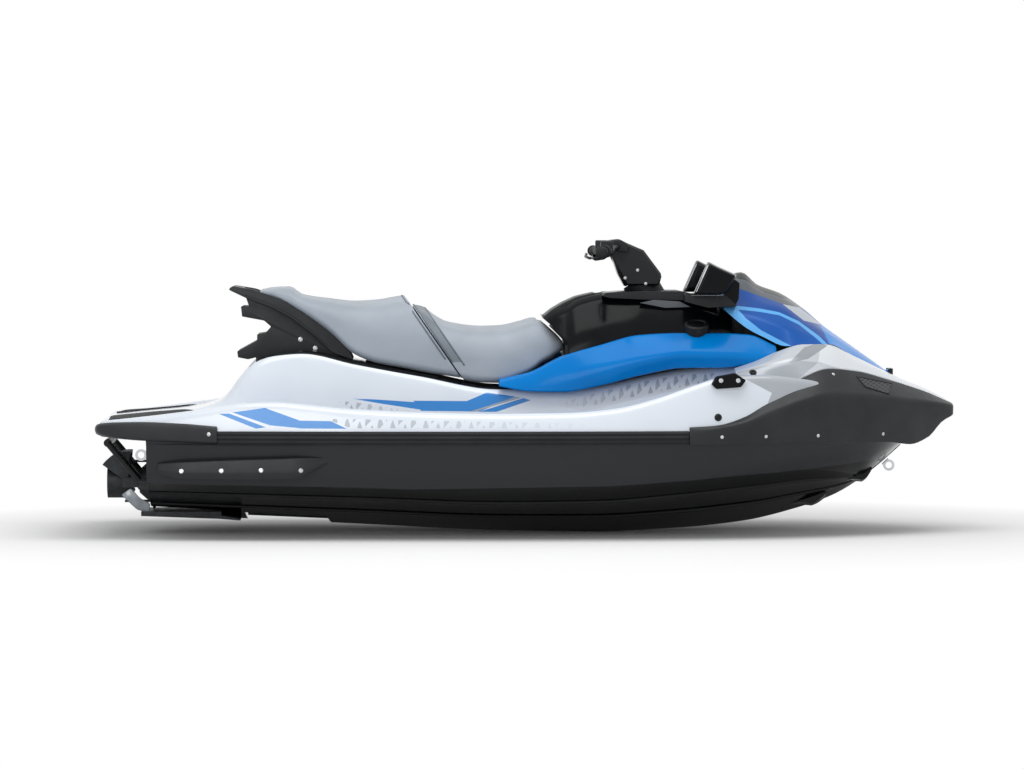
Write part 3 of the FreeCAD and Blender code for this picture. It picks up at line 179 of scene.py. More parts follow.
def mottle(tree, shader, colours, sizeMm, detail, most=1.0, areas=()):
    # The first colour drifts towards the second in soft patches of this size, under painted areas.
    patches = spread(tree, noiseHeight(tree, sizeMm, detail), 0, most)
    tone = mixColour(tree, patches, hexLinear(colours[0]), hexLinear(colours[1]))
    if areas:
        tone = paintedColour(tree, tone, areas)
    tree.links.new(tone, shader.inputs["Base Color"])


def wear(tree, shader, sizeMm, detail, low, high):
    # The roughness drifts from low to high in soft patches of this size.
    tree.links.new(spread(tree, noiseHeight(tree, sizeMm, detail), low, high), shader.inputs["Roughness"])


def slopesOf(xs, ys):
    steps = [(y2 - y1) / (x2 - x1) for x1, x2, y1, y2 in zip(xs, xs[1:], ys, ys[1:])]
    slopes = [steps[0]]
    for left, right in zip(steps, steps[1:]):
        slopes.append(0.0 if left * right <= 0 else 2 * left * right / (left + right))
    return slopes + [steps[-1]]


def flat(row):
    values = []
    for item in row:
        values += list(item) if isinstance(item, tuple) else [item]
    return values


def reader(rows):
    # A function of x that reads every column of a station table smoothly.
    rows = [flat(row) for row in rows]
    xs = [row[0] for row in rows]
    columns = [list(column) for column in zip(*rows)][1:]
    slopes = [slopesOf(xs, column) for column in columns]

    def read(x):
        x = min(max(x, xs[0]), xs[-1])
        k = max(i for i in range(len(xs) - 1) if x >= xs[i] - 1e-6)
        span = xs[k + 1] - xs[k]
        t = (x - xs[k]) / span
        values = []
        for column, slope in zip(columns, slopes):
            rise = (1 + 2 * t) * (1 - t) ** 2 * column[k] + t * t * (3 - 2 * t) * column[k + 1]
            values.append(rise + span * t * (1 - t) * ((1 - t) * slope[k] - t * slope[k + 1]))
        return values
    return read


def spaced(start, end, step):
    count = max(2, round(abs(end - start) / step) + 1)
    return [start + (end - start) * n / (count - 1) for n in range(count)]


def pairs(values):
    return list(zip(values[0::2], values[1::2]))


def roundedPath(points, radii, steps=4):
    # The open line through 2D points, with its inner corners rounded by these radii.
    path = [Vector(points[0])]
    for before, corner, after, radius in zip(points, points[1:], points[2:], radii):
        corner = Vector(corner)
        back, on = Vector(before) - corner, Vector(after) - corner
        reach = max(min(radius, 0.46 * back.length, 0.46 * on.length), 0.05)
        start, end = corner + back.normalized() * reach, corner + on.normalized() * reach
        for n in range(steps + 1):
            t = n / steps
            path.append(start * (1 - t) ** 2 + corner * 2 * t * (1 - t) + end * t * t)
    path.append(Vector(points[-1]))
    return path


def roundedLoop(points, radii, steps=4):
    # A closed outline with every corner rounded.
    if not isinstance(radii, (list, tuple)):
        radii = [radii] * len(points)
    return roundedPath([points[-1]] + list(points) + [points[0]], radii, steps)[1:-1]


def newObject(name, data):
    obj = bpy.data.objects.new(name, data)
    bpy.context.scene.collection.objects.link(obj)
    return obj


def meshObject(name, vertices, faces, sharp=35):
    mesh = bpy.data.meshes.new(name)
    mesh.from_pydata([tuple(v) for v in vertices], [], faces)
    bm = bmesh.new()
    bm.from_mesh(mesh)
    bmesh.ops.remove_doubles(bm, verts=bm.verts, dist=1e-6)
    bmesh.ops.dissolve_degenerate(bm, dist=1e-6, edges=bm.edges)
    bmesh.ops.recalc_face_normals(bm, faces=bm.faces)
    bm.to_mesh(mesh)
    bm.free()
    mesh.shade_smooth()
    mesh.set_sharp_from_angle(angle=math.radians(sharp))
    return newObject(name, mesh)


def loftRings(name, rings, sharp=35):
    # A skin through closed rings of points, all with the same count, and closed at both ends.
    count = len(rings[0])
    vertices = [point for ring in rings for point in ring]
    faces = []
    for r in range(len(rings) - 1):
        for n in range(count):
            a, b = r * count + n, r * count + (n + 1) % count
            faces.append((a, b, b + count, a + count))
    faces.append(tuple(range(count)))
    faces.append(tuple(reversed(range(len(vertices) - count, len(vertices)))))
    return meshObject(name, vertices, faces, sharp)


def softEnds(xs, rings, roundMm):
    # Draws the rings at both ends in towards their middles, so that the ends are rounded.
    for x, ring in zip(xs, rings):
        for end, roundness in zip((xs[0], xs[-1]), roundMm):
            near = abs(x - end)
            if roundness and near < roundness:
                inset = roundness - math.sqrt(roundness ** 2 - (roundness - near) ** 2)
                middle = sum(ring, Vector()) / len(ring)
                for n, point in enumerate(ring):
                    away = point - middle
                    ring[n] = middle + away * max(1 - inset / 1000 / max(away.length, 0.001), 0.25)


def endSpaced(start, end, step, roundMm):
    xs = spaced(start, end, step)
    for edge, sign, roundness in ((start, 1, roundMm[0]), (end, -1, roundMm[1])):
        if roundness:
            xs = [x for x in xs if abs(x - edge) > roundness or x == edge]
            xs += [edge + sign * roundness * (1 - math.cos(math.pi / 2 * n / 5)) for n in range(1, 6)]
    return sorted(xs)


def wholeLoft(name, rows, half, step, roundMm=(0, 0), sharp=35, span=None):
    # A loft right across the craft: half(*values) gives its starboard half from bottom to top.
    read = reader(rows)
    start, end = span or (rows[0][0], rows[-1][0])
    xs = endSpaced(start, end, step, roundMm)
    rings = []
    for x in xs:
        path = half(*read(x))
        rings.append([place(x, -y, z) for y, z in path] + [place(x, y, z) for y, z in reversed(path)])
    softEnds(xs, rings, roundMm)
    return loftRings(name, rings, sharp=sharp)


def sideLoft(name, rows, loop, step, roundMm=(0, 0), sharp=35, withX=False):
    # A loft on the starboard side only, from closed loops of (distance out, height).
    read = reader(rows)
    xs = endSpaced(rows[0][0], rows[-1][0], step, roundMm)
    rings = [[place(x, -y, z) for y, z in (loop(x, *read(x)) if withX else loop(*read(x)))] for x in xs]
    softEnds(xs, rings, roundMm)
    return loftRings(name, rings, sharp=sharp)


def applyModifier(obj, kind, **settings):
    modifier = obj.modifiers.new(kind.title(), kind)
    for name, value in settings.items():
        setattr(modifier, name, value)
    graph = bpy.context.evaluated_depsgraph_get()
    mesh = bpy.data.meshes.new_from_object(obj.evaluated_get(graph))
    obj.modifiers.remove(modifier)
    old = obj.data
    obj.data = mesh
    bpy.data.meshes.remove(old)


def smoothAgain(obj, sharp=35):
    obj.data.shade_smooth()
    obj.data.set_sharp_from_angle(angle=math.radians(sharp))
    return obj


def carve(obj, *tools, operation="DIFFERENCE"):
    for tool in tools:
        applyModifier(obj, "BOOLEAN", operation=operation, solver="EXACT", object=tool)
    for tool in tools:
        bpy.data.objects.remove(tool)
    return smoothAgain(obj)


def bevelled(obj, widthMm, segments=3, sharp=35):
    applyModifier(obj, "BEVEL", width=widthMm / 1000, segments=segments, limit_method="ANGLE",
                  angle_limit=math.radians(40), harden_normals=False)
    return smoothAgain(obj, sharp)


def mirrorCopy(obj, name):
    mesh = obj.data.copy()
    mesh.transform(Matrix.Diagonal((1, -1, 1, 1)))
    mesh.flip_normals()
    return newObject(name, mesh)


def joined(name, parts):
    # One object from several, which are then deleted.
    bm = bmesh.new()
    for part in parts:
        bm.from_mesh(part.data)
    mesh = bpy.data.meshes.new(name)
    bm.to_mesh(mesh)
    bm.free()
    for part in parts:
        bpy.data.objects.remove(part)
    return smoothAgain(newObject(name, mesh))


def dress(obj, material, body="hull_body", stands=()):
    # Gives a new piece its finish, its body and the CAD nodes that it stands for.
    obj.data.materials.clear()
    obj.data.materials.append(material)
    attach(obj, body)
    if stands:
        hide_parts(*stands)


def dressPair(near, material, body="hull_body", stands=None):
    # Dresses the starboard piece and a mirrored port one.
    far = mirrorCopy(near, near.name + "Port")
    dress(near, material, body, [stands + "_right"] if stands else ())
    dress(far, material, body, [stands + "_left"] if stands else ())


def refinish(nodeName, material):
    node = nodes[nodeName]
    for holder in node.material_slots:
        holder.link = "OBJECT"
        holder.material = material


def prism(name, outline, low, high, roundMm=0.0, bevelMm=0.0):
    # A side-view outline carried across from y = low to y = high.
    loop = roundedLoop(outline, roundMm) if roundMm else [Vector(p) for p in outline]
    obj = loftRings(name, [[place(x, y, z) for x, z in loop] for y in (low, high)])
    return bevelled(obj, bevelMm) if bevelMm else obj


def block(name, low, high, bevelMm=0.0):
    return prism(name, [(low[0], low[2]), (high[0], low[2]), (high[0], high[2]), (low[0], high[2])],
                 low[1], high[1], 0, bevelMm)


def turned(name, start, axis, profile, sides=48, ribs=0, ribShare=0.0):
    # A round piece about an axis: the profile lists (distance along, radius).
    axis = Vector(axis).normalized()
    side = axis.orthogonal().normalized()
    other = axis.cross(side)
    foot = place(*start)
    rings = []
    for along, radius in profile:
        ring = []
        for n in range(sides):
            angle = 2 * math.pi * n / sides
            out = max(radius * (1 + (ribShare * math.cos(ribs * angle) if ribs else 0)), 0.01)
            outward = (side * math.cos(angle) + other * math.sin(angle)) * out
            ring.append(foot + (axis * along + outward) / 1000)
        rings.append(ring)
    return loftRings(name, rings)


def bar(name, start, end, radius, roundMm=0.0):
    # A round bar between two points, with rounded ends where asked.
    length = (Vector(end) - Vector(start)).length
    if roundMm:
        arc = [(roundMm * (1 - math.cos(a)), radius - roundMm * (1 - math.sin(a)))
               for a in (math.pi / 2 * n / 4 for n in range(5))]
        profile = arc + [(length - d, r) for d, r in reversed(arc)]
    else:
        profile = [(0, radius), (length, radius)]
    return turned(name, start, Vector(end) - Vector(start), profile)


def skinTree(*objects):
    bm = bmesh.new()
    for obj in objects:
        bm.from_mesh(obj.data)
    tree = BVHTree.FromBMesh(bm)
    bm.free()
    return tree


def onSide(tree, x, z):
    # The point and outward direction of the starboard skin at (x, z) of the side view.
    point, normal, _, _ = tree.ray_cast(place(x, -900, z), Vector((0, 1, 0)))
    return point, normal


def onTop(tree, x, y):
    point, normal, _, _ = tree.ray_cast(place(x, y, 1400), Vector((0, 0, -1)))
    return point, normal


def screws(name, seats, radius, tall):
    # Socket-headed screws at (point, normal) seats, and again on the other side.
    vertices, faces, sides = [], [], 16
    profile = [(radius * 1.25, 0), (radius * 1.25, tall * 0.25), (radius, tall * 0.3), (radius, tall * 0.7),
               (radius * 0.8, tall), (radius * 0.45, tall), (radius * 0.42, tall * 0.5), (0.05, tall * 0.5)]
    for point, normal in seats:
        side = normal.orthogonal().normalized()
        other = normal.cross(side)
        first = len(vertices)
        for out, up in profile:
            for n in range(sides):
                angle = 2 * math.pi * n / sides
                vertices.append(point + (side * math.cos(angle) * out + other * math.sin(angle) * out
                                         + normal * (up - 0.5)) / 1000)
        for r in range(len(profile) - 1):
            for n in range(sides):
                a, b = first + r * sides + n, first + r * sides + (n + 1) % sides
                faces.append((a, b, b + sides, a + sides))
        faces.append(tuple(reversed(range(first, first + sides))))
        faces.append(tuple(range(first + (len(profile) - 1) * sides, first + len(profile) * sides)))
    near = meshObject(name, vertices, faces)
    return joined(name, [near, mirrorCopy(near, name + "Far")])


# Polyester gelcoat over glass fibre, sprayed in a polished mould: a deep even gloss, barely rippled.
gelcoat = {"white": "#E0E7F0", "whiteShade": "#D8E0EA", "blue": "#007FCE", "paleGrey": "#9AA4AE",
           "film": "#A3ABB4", "band": "#D3D8DE", "silver": "#A9AFB6", "underSeatShade": "#121416",
           "hull": "#060708", "hullShade": "#101214", "topside": "#2B2E31",
           "cover": "#007DCE", "coverShade": "#006FC2", "roughness": 0.17, "cloudMm": 140,
           "rippleMm": 60, "rippleDepthMm": 0.4}


def gelcoatSkin(name, colour, shade, areas=(), gloss=0.5, coat=0.4):
    material, tree, shader = newMaterial(name, {
        "IOR": 1.52, "Roughness": gelcoat["roughness"], "Coat Weight": coat, "Coat Roughness": 0.06,
        "Specular IOR Level": gloss})
    mottle(tree, shader, (colour, shade), gelcoat["cloudMm"], 1.0, 0.5, areas)
    addBump(tree, shader, noiseHeight(tree, gelcoat["rippleMm"], 1.0), gelcoat["rippleDepthMm"] / 1000, 0.2)
    return material


deckGelcoat = gelcoatSkin("gelcoatWhiteSprayed", gelcoat["white"], gelcoat["whiteShade"], [
    {"colour": gelcoat["blue"], "outward": (440, 620), "outlines": [  # the gunwale's stripe, aft
        [(-1124, 464), (-1088, 466), (-955, 417), (-991, 412)],
        [(-1077, 470), (-959, 486), (-833, 441), (-833, 414), (-941, 424)],
        [(-835, 441), (-722, 439), (-665, 412), (-835, 413)]]},
    # the pedestal's stripe
    {"colour": gelcoat["blue"], "outward": (200, 330), "fade": (-707, -600), "outlines": [
        [(-707, 515), (-565, 505), (-420, 500), (-397, 463), (-565, 493)],
        [(-425, 500), (-215, 498), (-182, 460), (-397, 463)],
        [(-230, 498), (-156, 529), (-50, 514), (-182, 460)]]},
    {"colour": gelcoat["paleGrey"], "outward": (200, 330), "outlines": [
        [(-48, 513), (-30, 510), (-200, 459), (-218, 460)]]},
    {"colour": gelcoat["blue"], "outward": (200, 330), "outlines": [
        [(-22, 509), (5, 501), (-120, 459), (-185, 459)]]},
    # printed film of small wedges: along the gunwale, on a paler band ahead, and behind the stripe
    {"colour": gelcoat["film"], "outward": (440, 620), "fade": (240, -760), "pattern": 40, "outlines": [
        [(-745, 448), (-200, 438), (190, 430), (190, 414), (-650, 414)]]},
    {"colour": gelcoat["band"], "outward": (200, 360), "fade": (40, 420), "outlines": [
        [(60, 490), (320, 560), (420, 585), (420, 512), (200, 462)],
        [(420, 585), (560, 606), (760, 612), (760, 590), (600, 552), (420, 510)]]},
    {"colour": gelcoat["film"], "outward": (200, 360), "fade": (60, 420), "pattern": 36, "outlines": [
        [(110, 490), (320, 548), (420, 570), (420, 522), (200, 476)],
        [(420, 570), (560, 594), (690, 602), (715, 590), (600, 560), (420, 522)]]},
    {"colour": gelcoat["film"], "outward": (200, 330), "fade": (-380, -680), "pattern": 36, "outlines": [
        [(-700, 500), (-600, 490), (-430, 462), (-640, 462)]]},
    # silver under the nose cover, and painted shade on the deck under the seats
    {"colour": gelcoat["silver"], "outward": (300, 620), "outlines": [
        [(739, 604), (868, 536), (1600, 400), (1600, 700), (800, 700)],
        [(868, 537), (848, 490), (1000, 420), (1100, 500)]]},
    {"colour": gelcoat["underSeatShade"], "outward": (0, 207), "outlines": [
        [(-1000, 560), (-1000, 760), (240, 760), (240, 480), (-300, 480)]]}])
hullGelcoat = gelcoatSkin("gelcoatBlackSprayed", gelcoat["hull"], gelcoat["hullShade"], [
    {"colour": gelcoat["topside"], "outlines": [  # above the chine
        [(-1500, 214), (-500, 190), (560, 205), (900, 240), (1250, 262), (1700, 300), (1700, 460),
         (-1500, 460)]]}], 0.16, 0.05)
coverGelcoat = gelcoatSkin("gelcoatBlueSprayed", gelcoat["cover"], gelcoat["coverShade"], (), 0.1, 0.04)
print("gelcoats mixed")

# Automotive metallic paint on moulded ABS: gloss with a faint sparkle of flake, drawn coarse to show.
paint = {"flakeMm": 2.5, "roughness": 0.24, "rippleMm": 50, "rippleDepthMm": 0.3}


def metallicPaint(name, colour, shade, areas=(), gloss=0.5, coat=0.4):
    material, tree, shader = newMaterial(name, {
        "IOR": 1.5, "Roughness": paint["roughness"], "Metallic": 0.1, "Coat Weight": coat,
        "Coat Roughness": 0.05, "Specular IOR Level": gloss})
    mottle(tree, shader, (colour, shade), paint["flakeMm"], 0.0, 0.8, areas)
    addBump(tree, shader, noiseHeight(tree, paint["rippleMm"], 1.0), paint["rippleDepthMm"] / 1000, 0.2)
    return material


nosePaint = metallicPaint("absPaintedSilver", "#C3C8CE", "#B7BDC4", [  # flank, a painted highlight on the crest, and a wedge of painted shade
    {"colour": "#A2A8AF", "outlines": [
        [(700, 560), (758, 617), (841, 631), (939, 653), (1048, 642), (975, 588), (885, 541), (760, 520)]]},
    # painted highlight: the crest is lighter, as where the light falls on it from above
    {"colour": "#D8DDE3", "outlines": [
        [(1048, 646), (1066, 712), (1200, 690), (1600, 520), (1600, 470), (1300, 560)]]},
    # painted shade: a soft darker wedge on the nose cover
    {"colour": "#8F959C", "outward": (240, 500), "outlines": [
        [(935, 640), (1000, 695), (1060, 712), (1090, 700), (1010, 655)]]}])
hoodPaint = metallicPaint("absPaintedBlue", "#0A4C9F", "#094796", [
    {"colour": "#5FACEB", "outward": (120, 330), "outlines": [  # a pale line round a darker field
        [(701, 838), (752, 847), (844, 836), (917, 822), (990, 789), (1064, 734), (1093, 703), (954, 680),
         (862, 712), (800, 748), (752, 775), (726, 808)]]},
    {"colour": "#0C55A9", "outward": (120, 330), "outlines": [
        [(763, 833), (844, 824), (917, 811), (990, 776), (1050, 728), (1075, 704), (965, 695), (844, 758),
         (789, 802)]]},
    {"colour": "#1484DA", "outlines": [  # the tip
        [(1076, 775), (1111, 775), (1345, 640), (1345, 560), (1223, 600), (1100, 700)]]},
    {"colour": "#B4BBC4", "outward": (60, 200), "outlines": [  # silver wedge
        [(935, 850), (1030, 840), (1066, 806), (1088, 772), (1012, 790)]]},
    {"colour": "#5A6066", "outlines": [  # grey crown and its black middle
        [(640, 915), (731, 894), (941, 849), (1012, 824), (1012, 1000), (640, 1000)]]},
    {"colour": "#17191B", "outward": (0, 92), "outlines": [
        [(640, 880), (900, 872), (1012, 824), (1060, 800), (1060, 1000), (640, 1000)]]}], 0.2, 0.1)

# Injection-moulded plastics: a satin skin with the fine spark-eroded grain of the tool, which is
# drawn a few times coarser so that it shows.
moulding = {"ior": 1.48, "cloudMm": 85, "wearMm": 30}
plastics = {
    "polypropyleneSatin": {"colour": "#1F2224", "shade": "#262A2C", "roughness": 0.38, "grainMm": 1.4,
                           "depthMm": 0.05, "specular": 0.3},
    "absGlossBlack": {"colour": "#040507", "shade": "#080A0E", "roughness": 0.16, "grainMm": 40,
                      "depthMm": 0.15, "specular": 0.14},
    "absTextured": {"colour": "#131517", "shade": "#1B1E20", "roughness": 0.4, "grainMm": 1.8,
                    "depthMm": 0.08, "specular": 0.3},
    "absGrey": {"colour": "#4B4F53", "shade": "#53585C", "roughness": 0.34, "grainMm": 1.8,
                "depthMm": 0.05},
    "rubberMoulded": {"colour": "#15171A", "shade": "#1C1F21", "roughness": 0.55, "grainMm": 1.2,
                      "depthMm": 0.08, "specular": 0.25},
    "polyamideBlack": {"colour": "#0E0F10", "shade": "#151718", "roughness": 0.3, "grainMm": 1.6,
                       "depthMm": 0.06, "specular": 0.3}}


def mouldedPlastic(name):
    kind = plastics[name]
    material, tree, shader = newMaterial(name, {
        "IOR": moulding["ior"], "Specular IOR Level": kind.get("specular", 0.5)})
    mottle(tree, shader, (kind["colour"], kind["shade"]), moulding["cloudMm"], 2.0)
    wear(tree, shader, moulding["wearMm"], 3.0, kind["roughness"] - 0.03, kind["roughness"] + 0.05)
    addBump(tree, shader, noiseHeight(tree, kind["grainMm"], 1.0), kind["depthMm"] / 1000, 0.5)
    return material


satinPlastic = mouldedPlastic("polypropyleneSatin")
glossPlastic = mouldedPlastic("absGlossBlack")
texturedPlastic = mouldedPlastic("absTextured")
greyPlastic = mouldedPlastic("absGrey")
rubber = mouldedPlastic("rubberMoulded")
nylon = mouldedPlastic("polyamideBlack")

# Marine vinyl stretched over moulded foam: soft sheen and a pebbled leather grain, drawn a little
# coarse so that it shows. A darker strip crosses the front seat behind its welt.
vinyl = {"colour": "#A0A9B3", "shade": "#959EA8", "strip": "#6F7881", "cloudMm": 160, "wearMm": 40,
         "grainMm": 3.2, "grainDepthMm": 0.4, "roughness": 0.46,
         "stripOutline": [(-422, 850), (-384, 850), (-250, 640), (-288, 640)]}
seatVinyl, vinylTree, vinylShader = newMaterial("vinylEmbossed", {"IOR": 1.48, "Sheen Weight": 0.15})
mottle(vinylTree, vinylShader, (vinyl["colour"], vinyl["shade"]), vinyl["cloudMm"], 2.0, 1.0,
       [{"colour": vinyl["strip"], "outlines": [vinyl["stripOutline"]]}])
wear(vinylTree, vinylShader, vinyl["wearMm"], 2.0, vinyl["roughness"] - 0.04, vinyl["roughness"] + 0.06)
pebbles = addNode(vinylTree, "ShaderNodeTexVoronoi", {"feature": "DISTANCE_TO_EDGE"}, {
    "Vector": objectPoint(vinylTree), "Scale": 1000 / vinyl["grainMm"]}).outputs["Distance"]
addBump(vinylTree, vinylShader, pebbles, vinyl["grainDepthMm"] / 1000, 0.25)

# The same vinyl folded over a cord and sewn into the seams: darker, with short creases.
welt = {"colour": "#666F78", "shade": "#5C656E", "cloudMm": 12, "creaseMm": 2.5, "creaseDepthMm": 0.3}
weltVinyl, weltTree, weltShader = newMaterial("vinylPiped", {"IOR": 1.48, "Roughness": 0.5})
mottle(weltTree, weltShader, (welt["colour"], welt["shade"]), welt["cloudMm"], 2.0)
addBump(weltTree, weltShader, noiseHeight(weltTree, welt["creaseMm"], 1.0),
        welt["creaseDepthMm"] / 1000, 0.4)

# Closed-cell EVA matting, milled with a diamond tread that is drawn a little coarse so that it shows.
mat = {"colour": "#2A2D30", "groove": "#17191B", "pitchMm": 14, "lean": 0.8, "grooveShare": 0.16}
matFoam, matTree, matShader = newMaterial("evaMilled", {"IOR": 1.45, "Roughness": 0.75})
matSplit = addNode(matTree, "ShaderNodeSeparateXYZ", None, {0: objectPoint(matTree)})
matLines = []
for way in (mat["lean"], -mat["lean"]):
    across = mathNode(matTree, "MULTIPLY", matSplit.outputs["Y"], way)
    lean = mathNode(matTree, "ADD", matSplit.outputs["X"], across)
    wave = mathNode(matTree, "FRACT", mathNode(matTree, "MULTIPLY", lean, 1000 / mat["pitchMm"]), 0)
    matLines.append(mathNode(matTree, "GREATER_THAN", wave, mat["grooveShare"]))
matHeight = mathNode(matTree, "MULTIPLY", *matLines)
matTree.links.new(mixColour(matTree, matHeight, hexLinear(mat["groove"]), hexLinear(mat["colour"])),
                  matShader.inputs["Base Color"])
addBump(matTree, matShader, matHeight, 0.0012, 0.6)

# Metals: cast alloy with a sandy skin, painted or bare, polished stainless bar and machined steel.
metalFinish = {"cloudMm": 30, "wearMm": 22}
metals = {
    "aluminiumCastPainted": {"colour": "#26292C", "shade": "#34383C", "roughness": 0.5, "metallic": 0.4,
                             "grainMm": 2.2, "depthMm": 0.2},
    "aluminiumCast": {"colour": "#8D9398", "shade": "#7D8388", "roughness": 0.45, "metallic": 0.9,
                      "grainMm": 2.2, "depthMm": 0.2},
    "stainlessPolished": {"colour": "#C9CCCE", "shade": "#B9BDC0", "roughness": 0.2, "metallic": 1.0,
                          "grainMm": 9, "depthMm": 0.03},
    "steelMachined": {"colour": "#9A9C9C", "shade": "#86898A", "roughness": 0.32, "metallic": 1.0,
                      "grainMm": 3, "depthMm": 0.05},
    "engineEnamel": {"colour": "#1D2023", "shade": "#2A2E31", "roughness": 0.42, "metallic": 0.2,
                     "grainMm": 4, "depthMm": 0.2}}


def metalSkin(name):
    kind = metals[name]
    material, tree, shader = newMaterial(name, {"Metallic": kind["metallic"]})
    mottle(tree, shader, (kind["colour"], kind["shade"]), metalFinish["cloudMm"], 3.0)
    wear(tree, shader, metalFinish["wearMm"], 4.0, kind["roughness"] - 0.05, kind["roughness"] + 0.08)
    addBump(tree, shader, noiseHeight(tree, kind["grainMm"], 2.0), kind["depthMm"] / 1000, 0.5)
    return material


castAlloy = metalSkin("aluminiumCastPainted")
castPlain = metalSkin("aluminiumCast")
stainless = metalSkin("stainlessPolished")
machinedSteel = metalSkin("steelMachined")
engineEnamel = metalSkin("engineEnamel")

# Silvered glass: a clear sheet over a bright coat, so nearly all of it is reflection.
silvering = {"colour": "#DDE2E6", "shade": "#D2D8DD", "cloudMm": 80, "smearMm": 60,
             "roughness": (0.03, 0.06)}
mirrorGlass, glassTree, glassShader = newMaterial("glassSilvered", {"Metallic": 1.0})
mottle(glassTree, glassShader, (silvering["colour"], silvering["shade"]), silvering["cloudMm"], 1.0)
wear(glassTree, glassShader, silvering["smearMm"], 2.0, *silvering["roughness"])
print("finishes mixed")

hull = {
    "stations": [  # x, keel height, half beam and height of the chine, half beam of the bond
        (-1388, 72, 455, 212, 508), (-1050, 56, 490, 206, 548), (-600, 34, 510, 197, 577),
        (-150, 12, 518, 184, 590), (250, 5.6, 512, 191, 585), (550, 18, 482, 217, 562),
        (800, 44, 420, 242, 520), (1000, 92, 325, 252, 458), (1130, 138, 215, 240, 400),
        (1230, 196, 90, 222, 340), (1310, 258, 40, 270, 282), (1385, 325, 22, 335, 215)],
    "step": 24, "strakes": (0.34, 0.68), "strakeWidth": 26, "chineWidth": 42, "bond": 378,
    "chine": 510,
    # the heights of the hollow under the footwells, and the half beams between which it rises
    "well": (250, 372), "wellRise": (560, 500)}


def hullHalf(keel, chineY, chineZ, bondY):
    narrow = chineY / hull["chine"]
    slope = (chineZ - keel) / chineY
    points, radii = [(0, keel), (12 * narrow, keel + 1)], [4 * narrow]
    for share in hull["strakes"]:
        y, width = share * chineY, hull["strakeWidth"] * narrow
        points += [(y, keel + y * slope), (y + width, keel + y * slope - 1),
                   (y + width, keel + (y + width) * slope)]
        radii += [3 * narrow, 2 * narrow, 3 * narrow]
    flatWidth = hull["chineWidth"] * narrow
    low, high = hull["well"]
    wide, slim = hull["wellRise"]
    well = low + (high - low) * min(max((wide - bondY) / (wide - slim), 0), 1)
    points += [(chineY - flatWidth, chineZ), (chineY, chineZ - 2),
               (chineY + (bondY - chineY) * 0.42, chineZ + (354 - chineZ) * 0.36), (bondY - 12, 352),
               (bondY, 358), (bondY, hull["bond"]), (bondY - 24, hull["bond"]),
               (max(bondY - 116, chineY * 0.5, 10), well)]
    radii += [5 * narrow, 3 * narrow, 90, 6, 4, 2, 2]
    return roundedPath(points, radii)


# Boxes as rear, front, half width and floor; the tunnel as front, radius and shaft height.
openings = {"bay": (-600, 60, 170, 130), "bin": (800, 1120, 165, 270), "bumper": (800, 1120, 165, 332),
            "tunnel": (-1130, 118, 195), "intake": (-1010, -690, 95), "duct": 76, "stern": -1450,
            "glove": (145, 232, 85, 700), "top": 1300}


def bayTool(name, key):
    rear, front, half, floor = openings[key]
    return block(name, (rear, -half, floor), (front, half, openings["top"]))


hullSkin = wholeLoft("hullSkin", hull["stations"], hullHalf, hull["step"])
tunnelFront, tunnelRadius, shaftHeight = openings["tunnel"]
intakeRear, intakeFront, intakeHalf = openings["intake"]
tunnelRear = openings["stern"]
tunnelTool = bar("tunnelTool", (tunnelFront, 0, shaftHeight), (tunnelRear, 0, shaftHeight), tunnelRadius)
tunnelFloorTool = block("tunnelFloorTool", (tunnelRear, -tunnelRadius, -20),
                        (tunnelFront, tunnelRadius, shaftHeight))
ductTool = bar("ductTool", (tunnelFront - 5, 0, shaftHeight), (intakeRear + 120, 0, shaftHeight),
               openings["duct"])
mouthTool = prism("mouthTool", [(intakeRear, -20), (intakeFront, -20), (intakeFront - 130, 190),
                                (intakeRear - 60, 160)], -intakeHalf, intakeHalf)
carve(hullSkin, bayTool("bayLow", "bay"), bayTool("binLow", "bin"), tunnelTool, tunnelFloorTool, ductTool,
      mouthTool)
dress(hullSkin, hullGelcoat, stands=["hull"])
print("hull done")

deck = {
    "stations": [  # x, half beam, gunwale height, floor, pedestal foot, pedestal top half width, its height
        (-1552, 462, 438, 430, 330, 250, 436), (-1400, 507, 455, 440, 320, 245, 452),
        (-1240, 531, 475, 448, 310, 240, 468), (-1130, 542, 490, 440, 300, 235, 500),
        (-1060, 548, 503, 424, 292, 230, 585), (-1000, 553, 510, 398, 286, 226, 648),
        (-930, 558, 511, 362, 281, 222, 674), (-830, 564, 503, 330, 275, 220, 684),
        (-640, 576, 485, 308, 270, 220, 645), (-400, 586, 474, 302, 268, 222, 599),
        (-120, 590, 469, 300, 270, 226, 548), (130, 588, 472, 303, 280, 235, 545),
        (300, 583, 487, 314, 290, 240, 566), (450, 573, 523, 352, 300, 245, 598),
        (590, 559, 570, 440, 318, 250, 622), (700, 544, 600, 560, 335, 250, 636),
        (820, 516, 604, 596, 335, 240, 645), (980, 466, 588, 596, 300, 215, 640),
        (1130, 400, 562, 574, 250, 182, 616), (1280, 310, 530, 540, 188, 140, 582),
        (1400, 222, 494, 502, 124, 94, 536), (1475, 148, 470, 476, 80, 60, 500)],
    "step": 22, "beam": 590, "edge": 402, "shoulderIn": 20, "gunwaleRound": 34, "gunwaleWidth": 70,
    "wellSlope": 26, "floorThick": 22, "bondIn": (110, 40)}


def deckUpper(beam, gunwale, floor, foot, top, height):
    share = beam / deck["beam"]
    shoulder = beam - deck["shoulderIn"] * share
    inner = shoulder - deck["gunwaleWidth"] * share
    points = [(beam, deck["edge"]), (shoulder, gunwale - 2), (inner, gunwale - 4),
              (inner - deck["wellSlope"] * share, floor), (foot, floor),
              ((foot + top) / 2 + 4, (floor + height) / 2), (top - 10, height), (0, height + 2)]
    radii = [deck["gunwaleRound"] * share, 22 * share, 26 * share, 30 * share, 70, 40]
    return roundedPath(points, radii, 6)


